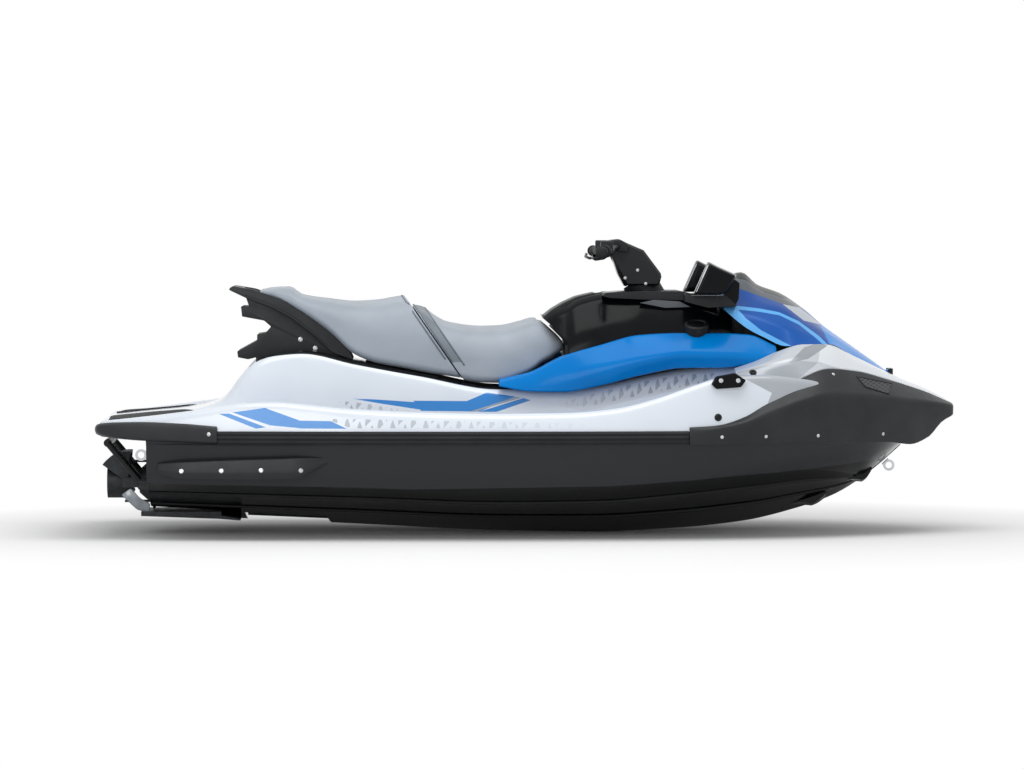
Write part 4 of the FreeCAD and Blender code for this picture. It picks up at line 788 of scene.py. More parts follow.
def deckHalf(beam, gunwale, floor, foot, top, height):
    share = beam / deck["beam"]
    under = min(hull["bond"] + 2, floor - deck["floorThick"])
    underIn, bondIn = deck["bondIn"]
    low = [(beam - underIn * share, under), (beam - bondIn * share, hull["bond"]), (beam, hull["bond"])]
    return [Vector(p) for p in low] + deckUpper(beam, gunwale, floor, foot, top, height)


readDeck = reader(deck["stations"])
deckSkin = wholeLoft("deckSkin", deck["stations"], deckHalf, deck["step"], (10, 0), sharp=50)
carve(deckSkin, bayTool("bayHigh", "bay"), bayTool("binHigh", "bin"))
smoothAgain(deckSkin, 50)
dress(deckSkin, deckGelcoat, stands=["deck"])
print("deck done")


def deckHeight(x, y):
    # The height of the deck's upper skin at (x, y).
    path = deckUpper(*readDeck(x))
    heights = []
    for first, second in zip(path, path[1:]):
        low, high = sorted((first.x, second.x))
        if low <= abs(y) <= high and high > low:
            t = (abs(y) - first.x) / (second.x - first.x)
            heights.append(first.y + (second.y - first.y) * t)
    return max(heights) if heights else path[0].y


# Foam mats in the footwells and on the boarding platform.
mats = {
    "thick": 5, "sunk": 3, "corner": 34, "step": 24, "across": 14,
    "footwell": [(-880, 300, 424), (-700, 292, 440), (-300, 288, 455), (150, 298, 452), (380, 318, 430)],
    "platform": [(-1530, 150, 400), (-1300, 200, 425), (-1150, 330, 430), (-1090, 345, 420)]}


def plate(name, front, back, wide, sharp=35):
    # A thin solid between two grids of points with rows of this many.
    count, tall, faces = len(front), len(front) // wide, []
    for r in range(tall - 1):
        for n in range(wide - 1):
            a = r * wide + n
            faces += [(a, a + 1, a + 1 + wide, a + wide),
                      (count + a, count + a + wide, count + a + 1 + wide, count + a + 1)]
    edge = list(range(wide)) + [r * wide + wide - 1 for r in range(1, tall)]
    edge += [(tall - 1) * wide + n for n in reversed(range(wide - 1))]
    edge += [r * wide for r in range(tall - 2, 0, -1)]
    faces += [(a, b, count + b, count + a) for a, b in zip(edge, edge[1:] + edge[:1])]
    return meshObject(name, front + back, faces, sharp)


def deckMat(name, rows):
    read = reader(rows)
    start, end = rows[0][0], rows[-1][0]
    corner, across = mats["corner"], mats["across"]
    top, low = [], []
    for x in endSpaced(start, end, mats["step"], (corner, corner)):
        inner, outer = read(x)
        near = min(x - start, end - x, corner)
        inset = corner - math.sqrt(max(corner ** 2 - (corner - near) ** 2, 0))
        for n in range(across + 1):
            y = inner + inset + (outer - inner - 2 * inset) * n / across
            z = deckHeight(x, y)
            top.append(place(x, -y, z + mats["thick"]))
            low.append(place(x, -y, z - mats["sunk"]))
    return plate(name, top, low, across + 1, 40)


for matName in ("footwell", "platform"):
    dressPair(deckMat(matName + "Mat", mats[matName]), matFoam)

bumper = {
    "rows": [  # x, then half width and height of the lower edge, low crease, high crease and top edge
        (566, (574, 352), (578, 366), (578, 392), (566, 419)),
        (664, (562, 352), (566, 370), (568, 412), (550, 424)),
        (769, (540, 352), (545, 370), (552, 431), (520, 456)),
        (860, (510, 352), (516, 372), (528, 462), (478, 524)),
        (975, (478, 352), (484, 398), (496, 504), (420, 586)),
        (1083, (434, 351), (440, 448), (446, 527), (352, 622)),
        (1200, (368, 350), (376, 461), (384, 522), (282, 610)),
        (1310, (300, 349), (308, 459), (314, 511), (218, 580)),
        (1400, (230, 338), (238, 456), (246, 500), (160, 552)),
        (1470, (160, 360), (178, 453), (192, 491), (118, 528)),
        (1530, (116, 418), (132, 451), (144, 484), (84, 502)),
        (1572.5, (92, 440), (96, 452), (98, 476), (64, 484))],
    "step": 16, "radii": (5, 22, 20, 10), "lowLip": 30, "topLip": (46, 34), "least": 20}


def bumperHalf(*values):
    low, lowCrease, highCrease, top = pairs(values)
    lipIn, lipDown = bumper["topLip"]
    inner = (max(top[0] - lipIn, bumper["least"]), max(top[1] - lipDown, lowCrease[1] + 4))
    return roundedPath([(low[0] - bumper["lowLip"], low[1]), low, lowCrease, highCrease, top, inner],
                       bumper["radii"], 5)


bumperSkin = wholeLoft("bowBumperSkin", bumper["rows"], bumperHalf, bumper["step"], (4, 14))
bumperTree = skinTree(bumperSkin)
carve(bumperSkin, bayTool("binBumper", "bumper"))
dress(bumperSkin, satinPlastic, stands=["bow_bumper"])

noseCover = {
    "rows": [  # x, then half width and height of the outer edge, knuckle and crest
        (742, (470, 590), (420, 612), (345, 622)), (820, (452, 570), (412, 628), (332, 648)),
        (900, (436, 556), (396, 648), (312, 682)), (1000, (398, 594), (352, 664), (276, 708)),
        (1090, (348, 622), (302, 668), (236, 708)), (1190, (288, 612), (246, 642), (182, 664)),
        (1290, (230, 586), (188, 606), (126, 616)), (1390, (166, 554), (128, 564), (84, 570)),
        (1470, (118, 526), (84, 534), (52, 538)), (1550, (70, 490), (44, 496), (24, 498))],
    "step": 18, "radii": (6, 26, 16), "flange": (30, 60), "lip": (14, 8)}


def noseHalf(*values):
    edge, knuckle, crest = pairs(values)
    (flangeIn, flangeDown), (lipIn, lipDown) = noseCover["flange"], noseCover["lip"]
    return roundedPath([(edge[0] - flangeIn, edge[1] - flangeDown), edge, knuckle, crest,
                        (crest[0] - lipIn, crest[1] - lipDown)], noseCover["radii"], 5)


noseSkin = wholeLoft("noseCoverSkin", noseCover["rows"], noseHalf, noseCover["step"], (6, 6))
carve(noseSkin, bayTool("binNose", "bin"))
dress(noseSkin, nosePaint, stands=["nose_cover"])

sideCover = {
    "rows": [  # x, then half width and height of the lower edge, crease and upper edge
        (-112, (262, 552), (256, 566), (248, 578)), (0, (272, 534), (262, 570), (248, 604)),
        (120, (280, 532), (278, 588), (250, 662)), (257, (292, 556), (302, 618), (254, 703)),
        (404, (306, 594), (330, 650), (262, 740)), (560, (318, 621), (350, 674), (276, 747)),
        (700, (326, 622), (348, 668), (284, 747)), (800, (328, 634), (334, 664), (290, 742)),
        (900, (318, 656), (310, 668), (288, 700))],
    "step": 16, "radii": (4, 7, 30, 9, 4), "depth": 60}


def coverLoop(*values):
    low, crease, high = pairs(values)
    depth = sideCover["depth"]
    return roundedLoop([(low[0] - depth, low[1]), low, crease, high, (high[0] - depth, high[1])],
                       sideCover["radii"], 5)


coverSkin = sideLoft("sideCoverSkin", sideCover["rows"], coverLoop, sideCover["step"], (6, 6))
dressPair(coverSkin, coverGelcoat, stands="side_cover")
print("panels done")

console = {
    "rows": [  # x, then half width and height of the foot, waist and shoulder, and the top height
        (46, (214, 552), (196, 668), (132, 782), 806), (90, (228, 556), (212, 680), (148, 804), 830),
        (137, (236, 560), (222, 690), (158, 822), 846), (176, (240, 566), (226, 716), (160, 846), 868),
        (260, (246, 580), (232, 742), (160, 868), 889), (350, (250, 600), (222, 762), (156, 876), 898),
        (450, (254, 615), (206, 772), (160, 874), 900), (560, (258, 625), (206, 778), (168, 862), 890),
        (660, (262, 630), (214, 776), (180, 830), 850), (740, (262, 632), (222, 764), (186, 804), 820)],
    "step": 14, "radii": (50, 20, 10),
    "lidRoom": [(30, 790), (86, 842), (176, 888), (231, 912), (280, 912), (280, 866), (231, 860),
                (176, 844), (137, 822), (92, 784), (64, 764), (40, 780)],
    "noseRoom": [(30, 900), (44, 812), (60, 794), (88, 770), (137, 721), (147, 690), (147, 540),
                 (0, 540), (0, 900)]}
lid = {"half": 116, "gap": 5,
       "outline": [(52, 802), (86, 830), (130, 856), (176, 877), (231, 890), (250, 893),
                   (250, 873), (231, 868), (176, 852), (137, 831), (100, 803), (66, 788)],
       "hinge": (265, 882), "barrelHalf": 28, "barrelRadius": 8, "earThick": 8, "earGap": 1, "pin": 4}
steering = {"foot": (430, 905), "rake": math.radians(30.5), "width": 112, "bossTop": 38, "spindle": 16}


def alongSteering(distance):
    x, z = steering["foot"]
    return (x - math.sin(steering["rake"]) * distance, 0, z + math.cos(steering["rake"]) * distance)


def consoleHalf(*values):
    foot, waist, shoulder = pairs(values[:6])
    top = values[6]
    return roundedPath([foot, waist, shoulder, (shoulder[0] - 34, top), (0, top + 2)], console["radii"], 5)


consoleSkin = wholeLoft("consoleSkin", console["rows"], consoleHalf, console["step"])
lidRoomHalf = lid["half"] + lid["gap"]
carve(consoleSkin,
      prism("lidRoomTool", console["lidRoom"], -lidRoomHalf, lidRoomHalf),
      prism("noseRoomTool", console["noseRoom"], -300, 300),
      bayTool("gloveTool", "glove"),
      bar("spindleTool", alongSteering(-18), alongSteering(40), steering["spindle"] + 0.5))
hingeX, hingeZ = lid["hinge"]
earInner = lid["barrelHalf"] + lid["earGap"]
earOuter = earInner + lid["earThick"]
ears = [block(f"lidEar{n}", (hingeX - 9, low, hingeZ - 22), (hingeX + 9, high, hingeZ + 8), 2)
        for n, (low, high) in enumerate(((-earOuter, -earInner), (earInner, earOuter)))]
lidPin = bar("lidPin", (hingeX, -earOuter, hingeZ), (hingeX, earOuter, hingeZ), lid["pin"])
consoleSkin = joined("consoleSkin", [consoleSkin, *ears, lidPin])
dress(consoleSkin, glossPlastic, stands=["console"])

lidLoop = roundedLoop(lid["outline"], 9)
lidSkin = bevelled(loftRings("lidPlate", [[place(x, y, z) for x, z in lidLoop]
                                          for y in (-lid["half"], lid["half"])]), 4)
barrelHalf = lid["barrelHalf"]
lidNeck = block("lidNeck", (hingeX - 22, 1 - barrelHalf, hingeZ - 6),
                (hingeX, barrelHalf - 1, hingeZ + 8), 2)
lidBarrel = bar("lidBarrel", (hingeX, -barrelHalf, hingeZ), (hingeX, barrelHalf, hingeZ),
                lid["barrelRadius"], 1)
lidSkin = joined("gloveboxLidSkin", [lidSkin, lidNeck, lidBarrel])
dress(lidSkin, texturedPlastic, "lid_body", stands=["glovebox_lid"])
print("console done")

rail = {"low": 354, "high": 402, "out": 14, "root": 30, "groove": 4, "ribs": 3, "perRib": 8}


def railLoop(x, *_):
    beam = readDeck(x)[0]
    count = rail["ribs"] * rail["perRib"]
    points = [Vector((beam - rail["root"], rail["low"]))]
    for n in range(count + 1):
        t = n / count
        crown = math.sin(math.pi * min(max(t, 0.02), 0.98)) ** 0.25
        rib = 0.5 - 0.5 * math.cos(2 * math.pi * rail["ribs"] * t)
        out = (rail["out"] - rail["groove"] * (1 - rib)) * crown
        points.append(Vector((beam + out, rail["low"] + (rail["high"] - rail["low"]) * t)))
    return points + [Vector((beam - rail["root"], rail["high"]))]


railSkin = sideLoft("rubRailSkin", [(-1130, 0), (566, 0)], railLoop, 20, (0, 5), withX=True)
dressPair(railSkin, rubber, stands="rub_rail")

stern = {"rows": [  # x, beam, heights of the lower edge, lower side, upper side and top edge
    (-1574, 440, 392, 400, 414, 418), (-1560, 462, 384, 394, 420, 428), (-1500, 488, 374, 380, 424, 434),
    (-1400, 507, 366, 372, 426, 436), (-1250, 529, 360, 366, 422, 430), (-1130.5, 542, 354, 362, 412, 420)],
    "thick": 18, "root": ((50, 386), (40, 402)), "radii": (3, 5, 6, 6, 5, 3)}


def sternLoop(beam, low, lowSide, highSide, high):
    thick = stern["thick"]
    (lowIn, rootLow), (highIn, rootHigh) = stern["root"]
    return roundedLoop([(beam - lowIn, rootLow), (beam - 4, low), (beam + thick, lowSide),
                        (beam + thick, highSide), (beam - 2, high), (beam - highIn, rootHigh)],
                       stern["radii"])


sternNear = sideLoft("sternNear", stern["rows"], sternLoop, 20, (8, 3))
sternBar = block("sternBar", (-1574, -446, 393), (-1540, 446, 417), 6)
sternSkin = joined("sternBumperSkin", [mirrorCopy(sternNear, "sternFar"), sternNear, sternBar])
sternTree = skinTree(sternSkin)
dress(sternSkin, satinPlastic, stands=["stern_bumper"])

sponson = {"rows": [  # x, share of the thickness, heights of the lower and upper edge
    (-1346, 0.5, 246, 286), (-1250, 1, 231, 292), (-1050, 1, 228, 300), (-860, 1, 229, 306),
    (-780, 0.6, 262, 309), (-712, 0.1, 296, 311)], "thick": 34, "root": 45, "lean": 8, "crest": 6}
readHull = reader(hull["stations"])


def sponsonLoop(x, share, low, high):
    _, chine, _, bond = readHull(x)
    side = (chine + bond) / 2
    out = side + sponson["thick"] * share
    root = side - sponson["root"]
    return roundedLoop([(root, low), (out - sponson["lean"], low), (out, low + (high - low) * 0.3),
                        (out - sponson["crest"], high), (root, high)], (2, 6, 8, 6, 2))


sponsonSkin = sideLoft("sponsonSkin", sponson["rows"], sponsonLoop, 20, (5, 2), withX=True)
sponsonTree = skinTree(sponsonSkin)
dressPair(sponsonSkin, satinPlastic, stands="sponson")
print("rails done")

seats = {
    "rear": [  # x, half width and height of the lower edge, height of the top
        (-986, 120, 890, 904), (-934, 152, 878, 913), (-880, 172, 856, 915), (-830, 184, 830, 886),
        (-729, 198, 760, 871), (-640, 206, 680, 862), (-560, 209, 648, 866), (-473, 211, 632, 880),
        (-380, 211, 614, 888), (-230, 211, 590, 892)],
    "front": [
        (-520, 211, 640, 862), (-450, 211, 627, 850), (-395, 211, 616, 843), (-345, 211, 607, 809),
        (-298, 211, 598, 785), (-176, 211, 576, 769), (-107, 206, 574, 771), (-28, 190, 596, 788),
        (16, 180, 618, 800), (48, 170, 644, 791), (80, 160, 660, 765), (126, 132, 690, 720)],
    "step": 15, "radii": (14, 40, 60, 70), "partTop": (-424, 838), "partLow": (-290, 644), "gap": 5,
    "farOff": 1500, "gapShadeInset": (9, 5, 7), "gapShadeLayer": (-1, 3.2), "welt": 3.2, "hingeHalf": 42,
    "hingeRoom": [(30, 764), (30, 840), (166, 840), (166, 710), (106, 710)]}


def seatHalf(edge, low, top):
    rise = top - low
    return roundedPath([(0, low - 12), (edge - 34, low - 12), (edge, low), (edge * 0.97, low + rise * 0.55),
                        (edge * 0.78, top - rise * 0.1 - 2), (0, top)], seats["radii"], 6)


def partingSlab(name, rear, front):
    # A flat layer along the parting between the seats, from rear to front millimetres off its middle.
    (topX, topZ), (lowX, lowZ) = seats["partTop"], seats["partLow"]
    run = Vector((topX - lowX, topZ - lowZ))
    lean = run.length / run.y
    line = [(lowX + run.x * t, lowZ + run.y * t) for t in (2, -1)]
    return prism(name, [(x + rear * lean, z) for x, z in line]
                 + [(x + front * lean, z) for x, z in reversed(line)], -400, 400)


def roundTube(name, points, radius):
    # A round tube along points of the frame.
    curve = bpy.data.curves.new(name, "CURVE")
    curve.dimensions = "3D"
    curve.bevel_depth = radius / 1000
    curve.bevel_resolution = 3
    spline = curve.splines.new("POLY")
    spline.points.add(len(points) - 1)
    for target, point in zip(spline.points, points):
        target.co = (*point, 1)
    source = newObject(name + "Line", curve)
    graph = bpy.context.evaluated_depsgraph_get()
    mesh = bpy.data.meshes.new_from_object(source.evaluated_get(graph))
    bpy.data.objects.remove(source)
    return smoothAgain(newObject(name, mesh), 60)


rearSeat = wholeLoft("rearSeatSkin", seats["rear"], seatHalf, seats["step"], (8, 0))
carve(rearSeat, partingSlab("partAhead", -seats["gap"] / 2, seats["farOff"]))
frontSeat = wholeLoft("frontSeatSkin", seats["front"], seatHalf, seats["step"], (0, 16))
carve(frontSeat, partingSlab("partBehind", -seats["farOff"], seats["gap"] / 2),
      prism("seatHingeRoom", seats["hingeRoom"], -seats["hingeHalf"], seats["hingeHalf"]))
for seatPiece, seatBody, nodeName in ((rearSeat, "seat_rear_body", "seat_rear"),
                                      (frontSeat, "seat_front_body", "seat_front")):
    bevelled(seatPiece, 9, 4, 40)
    dress(seatPiece, seatVinyl, seatBody, [nodeName])
# A dark rubber layer between the seats, a little inside their outline, as painted shade in the gap between
# them.
sideInset, lowInset, topInset = seats["gapShadeInset"]
gapShadeRows = [(x, edge - sideInset, low + lowInset, top - topInset) for x, edge, low, top in seats["front"]]
seatGapShade = carve(wholeLoft("seatGapShade", gapShadeRows, seatHalf, seats["step"]),
                 partingSlab("gapShadeLayer", *seats["gapShadeLayer"]), operation="INTERSECT")
dress(seatGapShade, rubber, "seat_front_body")
print("seats done")

arm = {
    "outline": [(-1102, 905), (-1088, 918), (-1010, 905), (-912, 871), (-839, 838), (-729, 750),
                (-656, 676), (-642, 645), (-722, 674), (-796, 744), (-869, 799), (-942, 839),
                (-1037, 874)],
    "groove": [(-1040, 886), (-946, 853), (-874, 814), (-802, 759), (-737, 696)], "grooveRadius": 1.6,
    "half": 166, "room": (-1046, -500, 124)}
bracket = {
    "outline": [(-1037, 874), (-942, 839), (-869, 799), (-796, 744), (-722, 674), (-697, 662), (-777, 600),
                (-1001, 600), (-1001, 656), (-1030, 649), (-1067, 656), (-1070, 678), (-997, 718),
                (-997, 740), (-968, 744), (-946, 769), (-971, 791), (-1052, 806), (-1056, 843),
                (-1026, 843)],
    "half": 150, "fingerRoom": ((-1060, -118, 848), (-984, 118, 960))}
handle = prism("grabHandleSkin", arm["outline"], -arm["half"], arm["half"], 8)
roomRear, roomFront, roomHalf = arm["room"]
carve(handle, block("armRoom", (roomRear, -roomHalf, 500), (roomFront, roomHalf, 1300)))
bevelled(handle, 7, 4)
handleTree = skinTree(handle)
dress(handle, satinPlastic, stands=["grab_handle"])
bracketSkin = prism("seatBracketSkin", bracket["outline"], -bracket["half"], bracket["half"], 3)
carve(bracketSkin, block("fingerRoom", *bracket["fingerRoom"]))
bevelled(bracketSkin, 4)
dress(bracketSkin, texturedPlastic, stands=["seat_bracket"])
print("handle done")

hood = {
    "rows": [  # x, then half width and height of the lower edge, flank, shoulder and crown, and the centre
        (706, (286, 836), (264, 848), (206, 872), (122, 905), 925),
        (740, (288, 806), (266, 834), (202, 874), (112, 930), 952),
        (791, (290, 766), (264, 816), (190, 866), (100, 938), 966),
        (851, (290, 734), (258, 800), (186, 854), (94, 902), 920),
        (936, (286, 700), (250, 770), (180, 832), (88, 874), 888),
        (1029, (262, 704), (226, 738), (160, 778), (80, 812), 825),
        (1093, (240, 706), (206, 722), (146, 748), (72, 764), 770),
        (1197, (184, 656), (156, 668), (108, 684), (54, 693), 696),
        (1290, (126, 610), (104, 617), (72, 625), (36, 629), 630),
        (1334, (84, 589), (70, 592), (48, 596), (24, 597), 598)],
    "step": 14, "wall": 16, "radii": (14, 22, 24, 16), "hinge": (1344, 602), "hingeHalf": 28,
    "hingeRadius": 8, "skirt": 90, "under": 540}


def hoodHalf(*values):
    *edges, centre = values
    half = pairs(edges)
    return roundedPath(half + [(half[-1][0] * 0.35, centre), (0, centre + 1)], hood["radii"], 5)


def hoodInside(*values):
    wall = hood["wall"]
    *edges, centre = values
    half = [(y - wall, z - wall) for y, z in pairs(edges)]
    half[0] = (half[0][0], half[0][1] - hood["skirt"])
    return roundedPath(half + [(half[-1][0] * 0.35, centre - wall)], (6, 12, 12, 10), 3)


hoodSkin = wholeLoft("hoodSkin", hood["rows"], hoodHalf, hood["step"], (5, 4))
hoodRoom = wholeLoft("hoodRoom", hood["rows"], hoodInside, 30, span=(722, 1318))
carve(hoodSkin, hoodRoom)
hoodHingeX, hoodHingeZ = hood["hinge"]
hoodHingeHalf = hood["hingeHalf"]
hoodWeb = block("hoodWeb", (hoodHingeX - 34, -hoodHingeHalf, hoodHingeZ - 8),
                (hoodHingeX, hoodHingeHalf, hoodHingeZ + 2), 1)
hoodBarrel = bar("hoodBarrel", (hoodHingeX, -hoodHingeHalf, hoodHingeZ),
                 (hoodHingeX, hoodHingeHalf, hoodHingeZ), hood["hingeRadius"], 1)
hoodSkin = joined("hoodSkin", [hoodSkin, hoodWeb, hoodBarrel])
dress(hoodSkin, hoodPaint, "hood_body", ["hood"])
hoodSkin.data.materials.append(texturedPlastic)
for face in hoodSkin.data.polygons:  # the moulding is unpainted inside
    middle = Vector((face.center.x, 0, place(0, 0, hood["under"]).z))
    face.material_index = 1 if face.normal.dot(face.center - middle) < 0 else 0
print("hood done")

pod = {"middle": [(556, 870), (571, 903), (593, 912), (660, 908), (696, 898), (696, 800), (590, 800)],
       "wings": [(266, 882), (282, 893), (430, 899), (560, 899), (604, 888), (700, 868), (700, 848),
                 (604, 860), (560, 866), (420, 868), (296, 874)],
       "middleHalf": 150, "wingHalf": 188, "bossRoom": 69}
podMiddle = prism("podMiddle", pod["middle"], -pod["middleHalf"], pod["middleHalf"], 6, 7)
podWings = prism("podWings", pod["wings"], -pod["wingHalf"], pod["wingHalf"], 3, 4)
podSkin = joined("instrumentPodSkin", [podMiddle, podWings])
carve(podSkin, bar("bossRoomTool", alongSteering(-60), alongSteering(60), pod["bossRoom"]))
dress(podSkin, texturedPlastic, stands=["instrument_pod"])

pole = {
    "outline": [(364, 902), (332, 960), (312, 1020), (302, 1086), (336, 1090), (410, 1052), (452, 1012),
                (492, 966), (540, 900)],
    "bevel": 9}
poleSkin = prism("poleShell", pole["outline"], -steering["width"] / 2, steering["width"] / 2, 8)
poleRoom = turned("poleRoom", alongSteering(steering["bossTop"] + 5),
                  (-math.sin(steering["rake"]), 0, math.cos(steering["rake"])), [(0, 160), (400, 160)])
carve(poleSkin, poleRoom, operation="INTERSECT")
bevelled(poleSkin, pole["bevel"], 4)
spindle = bar("poleSpindle", alongSteering(-16), alongSteering(steering["bossTop"] + 40),
              steering["spindle"])
poleSkin = joined("steeringPoleSkin", [poleSkin, spindle])
dress(poleSkin, glossPlastic, "steering", ["steering_pole"])

handlebar = {"x": 330, "z": 1060, "gripX": 272, "gripZ": 1045, "tube": 11, "straight": 84, "half": 372,
             "grip": 17, "gripLength": 125}
barX, barZ, gripX, gripZ = (handlebar[key] for key in ("x", "z", "gripX", "gripZ"))
gripStart = handlebar["half"] - handlebar["gripLength"]
straight = handlebar["straight"]
barHalf = [(barX, straight, barZ), (barX - 4, straight + 20, barZ - 1), (gripX, gripStart + 4, gripZ)]
barLine = [(x, -y, z) for x, y, z in reversed(barHalf)] + barHalf
barSkin = roundTube("handlebarSkin", [place(*p) for p in barLine], handlebar["tube"])
dress(barSkin, nylon, "steering", ["handlebar"])


def gripProfile():
    radius, length, count = handlebar["grip"], handlebar["gripLength"], 15
    profile = [(0, radius), (1, radius + 3), (6, radius + 3), (7, radius - 1)]
    for n in range(count):
        start = 12 + n * (length - 24) / count
        profile += [(start, radius - 1.6), (start + 1.2, radius), (start + 4, radius),
                    (start + 5, radius - 1.6)]
    return profile + [(length - 8, radius), (length - 2, radius - 0.5), (length, radius - 4)]


gripSkin = turned("gripSkin", (gripX, -gripStart, gripZ), (-14, -handlebar["gripLength"], -2),
                  gripProfile(), 40)
dressPair(gripSkin, rubber, "steering", "grip")
print("steering done")

mirror = {
    "outline": [(592, 887), (647, 1010), (680, 993), (753, 960), (742, 938), (716, 896), (690, 887)],
    "rows": [(262, 0.80), (290, 0.97), (330, 1.0), (386, 0.88)], "middle": (668, 940),
    "arm": [(708, 905), (742, 948), (766, 930), (762, 870), (748, 846), (712, 846)],
    "shell": (262, 386), "round": 10, "corner": 9, "reach": 75, "armSpan": (-296, -150),
    "glass": (272, 376), "glassInset": 9, "glassOut": 1.5}


def mirrorRing(distance, share):
    cx, cz = mirror["middle"]
    return [place(cx + (p.x - cx) * share, -distance, cz + (p.y - cz) * share)
            for p in roundedLoop(mirror["outline"], mirror["corner"])]


readShare = reader(mirror["rows"])
shellInner, shellOuter = mirror["shell"]
shellRound = mirror["round"]
shellRings = []
for y in endSpaced(shellInner, shellOuter, 12, (shellRound, shellRound)):
    edgeRound = max(0, shellRound - min(y - shellInner, shellOuter - y))
    inset = (shellRound - math.sqrt(max(shellRound ** 2 - edgeRound ** 2, 0))) / mirror["reach"]
    shellRings.append(mirrorRing(y, readShare(y)[0] - inset))
mirrorShell = loftRings("mirrorShell", shellRings)
mirrorArm = prism("mirrorArm", mirror["arm"], *mirror["armSpan"], 6, 5)
mirrorSkin = joined("mirrorSkin", [mirrorShell, mirrorArm])
dressPair(mirrorSkin, glossPlastic, "hood_body", "mirror")


def glassPane():
    low, high = Vector(mirror["outline"][0]), Vector(mirror["outline"][1])
    up = (high - low).normalized()
    rear = Vector((-up.y, up.x))
    inset = mirror["glassInset"]
    inner, outer = mirror["glass"]
    rings = []
    for depth, shrink in ((2, 0), (-mirror["glassOut"], 0), (-mirror["glassOut"] - 0.8, 2)):
        ring = []
        for y, shareAlong in ((inner + shrink, 0), (outer - shrink, 0), (outer - shrink, 1),
                              (inner + shrink, 1)):
            share = readShare(y)[0]
            cx, cz = mirror["middle"]
            a = Vector((cx + (low.x - cx) * share, cz + (low.y - cz) * share)) + up * (inset + shrink)
            b = Vector((cx + (high.x - cx) * share, cz + (high.y - cz) * share)) - up * (inset + shrink)
            spot = a.lerp(b, shareAlong) - rear * depth
            ring.append(place(spot.x, -y, spot.y))
        rings.append(ring)
    return loftRings("mirrorGlass", rings)


dressPair(glassPane(), mirrorGlass, "hood_body")
print("mirrors done")

cleat = {"outline": [(645, 570), (663, 597), (731, 610), (771, 584), (753, 559), (663, 552)],
         "low": 505, "high": 548}
cleatSkin = prism("cleatSkin", cleat["outline"], -cleat["high"], -cleat["low"], 6, 6)
dressPair(cleatSkin, glossPlastic, stands="cleat")

cap = {"start": (610, -248, 730), "end": (610, -268, 784), "radius": 46, "ribs": 36, "ribShare": 0.018}
capLine = Vector(cap["end"]) - Vector(cap["start"])
capLength, capRadius = capLine.length, cap["radius"]
capSkin = turned("fuelCapSkin", cap["start"], capLine,
                 [(0, capRadius - 4), (capLength - 30, capRadius - 4), (capLength - 28, capRadius - 1),
                  (capLength - 6, capRadius - 1), (capLength - 1, capRadius - 6),
                  (capLength, capRadius - 12), (capLength - 4, capRadius - 16), (capLength - 4, 0.5)],
                 144, cap["ribs"], cap["ribShare"])
dress(capSkin, nylon, stands=["fuel_cap"])

# The CAD nodes that stay in view get their finishes.
for nodeNames, finish in (
        (("pump_housing", "steering_nozzle", "reverse_bucket", "step_mounts", "intake_grate",
          "ride_plate"), castAlloy),
        (("impeller", "drive_shaft"), machinedSteel),
        (("stern_eye_right", "stern_eye_left", "bow_eye", "seat_hinge"), stainless),
        (("hood_hinge", "boarding_step"), nylon),
        (("engine",), engineEnamel),
        (("steering_base",), rubber)):
    for nodeName in nodeNames:
        refinish(nodeName, finish)

# Spray teeth at the ends of the chines and inner strakes, which throw the water down.
teeth = {
    "strake": {"rows": [(930, 0.0), (1000, 0.5), (1052, 1.0), (1080, 0.55), (1112, 0.0)], "y": (26, 60),
               "tip": (101, 128)},
    "chine": {"rows": [(1110, 0.0), (1180, 0.45), (1238, 1.0), (1256, 0.6), (1276, 0.0)], "y": (34, 84),
              "tip": (190, 232)}}
toothForm = {"lean": 9, "rooted": 7, "perSpan": 4}
hullTree = skinTree(hullSkin)


def sprayTooth(name):
    tooth = teeth[name]
    inner, outer = tooth["y"]
    most = toothForm["perSpan"]
    rings = []
    for x, share in [(a[0] + (b[0] - a[0]) * n / most, a[1] + (b[1] - a[1]) * n / most)
                     for a, b in zip(tooth["rows"], tooth["rows"][1:]) for n in range(most)]:
        ring = []
        for y in (inner, (inner + outer) / 2, outer):
            point, _, _, _ = hullTree.ray_cast(place(x, -y, -300), Vector((0, 0, 1)))
            skin = (point.z * 1000 + craft["draft"]) if point else tooth["tip"][1]
            lean = 0 if y == inner else toothForm["lean"]
            hang = min(skin, tooth["tip"][0] + lean) if share > 0 else skin
            ring.append((y, skin + (hang - skin) * share, skin + toothForm["rooted"]))
        rings.append([place(x, -y, low) for y, low, _ in ring]
                     + [place(x, -y, high) for y, _, high in reversed(ring)])
    return loftRings(name + "Tooth", rings)


for toothName in teeth:
    dressPair(sprayTooth(toothName), hullGelcoat)
print("teeth done")

# A woven-looking grille patch laid in the bumper, inside a raised rim.
grille = {"corners": [(1192, 590), (1330, 560), (1312, 524), (1222, 552)], "across": 18, "down": 8,
          "proud": 0.9, "sunk": 2, "rim": 2.4, "pitchMm": 13, "lean": 0.6, "strand": 0.36,
          "gap": "#040404", "colour": "#3A3D40"}
grilleMesh, grilleTree, grilleShader = newMaterial("polypropyleneGrille", {
    "IOR": moulding["ior"], "Roughness": 0.45})
grilleSplit = addNode(grilleTree, "ShaderNodeSeparateXYZ", None, {0: objectPoint(grilleTree)})
strands = []
for way in (grille["lean"], -grille["lean"]):
    slant = mathNode(grilleTree, "ADD", grilleSplit.outputs["Z"],
                     mathNode(grilleTree, "MULTIPLY", grilleSplit.outputs["X"], way))
    strands.append(mathNode(grilleTree, "LESS_THAN", mathNode(
        grilleTree, "FRACT", mathNode(grilleTree, "MULTIPLY", slant, 1000 / grille["pitchMm"]), 0),
                            grille["strand"]))
strandHeight = mathNode(grilleTree, "MAXIMUM", *strands)
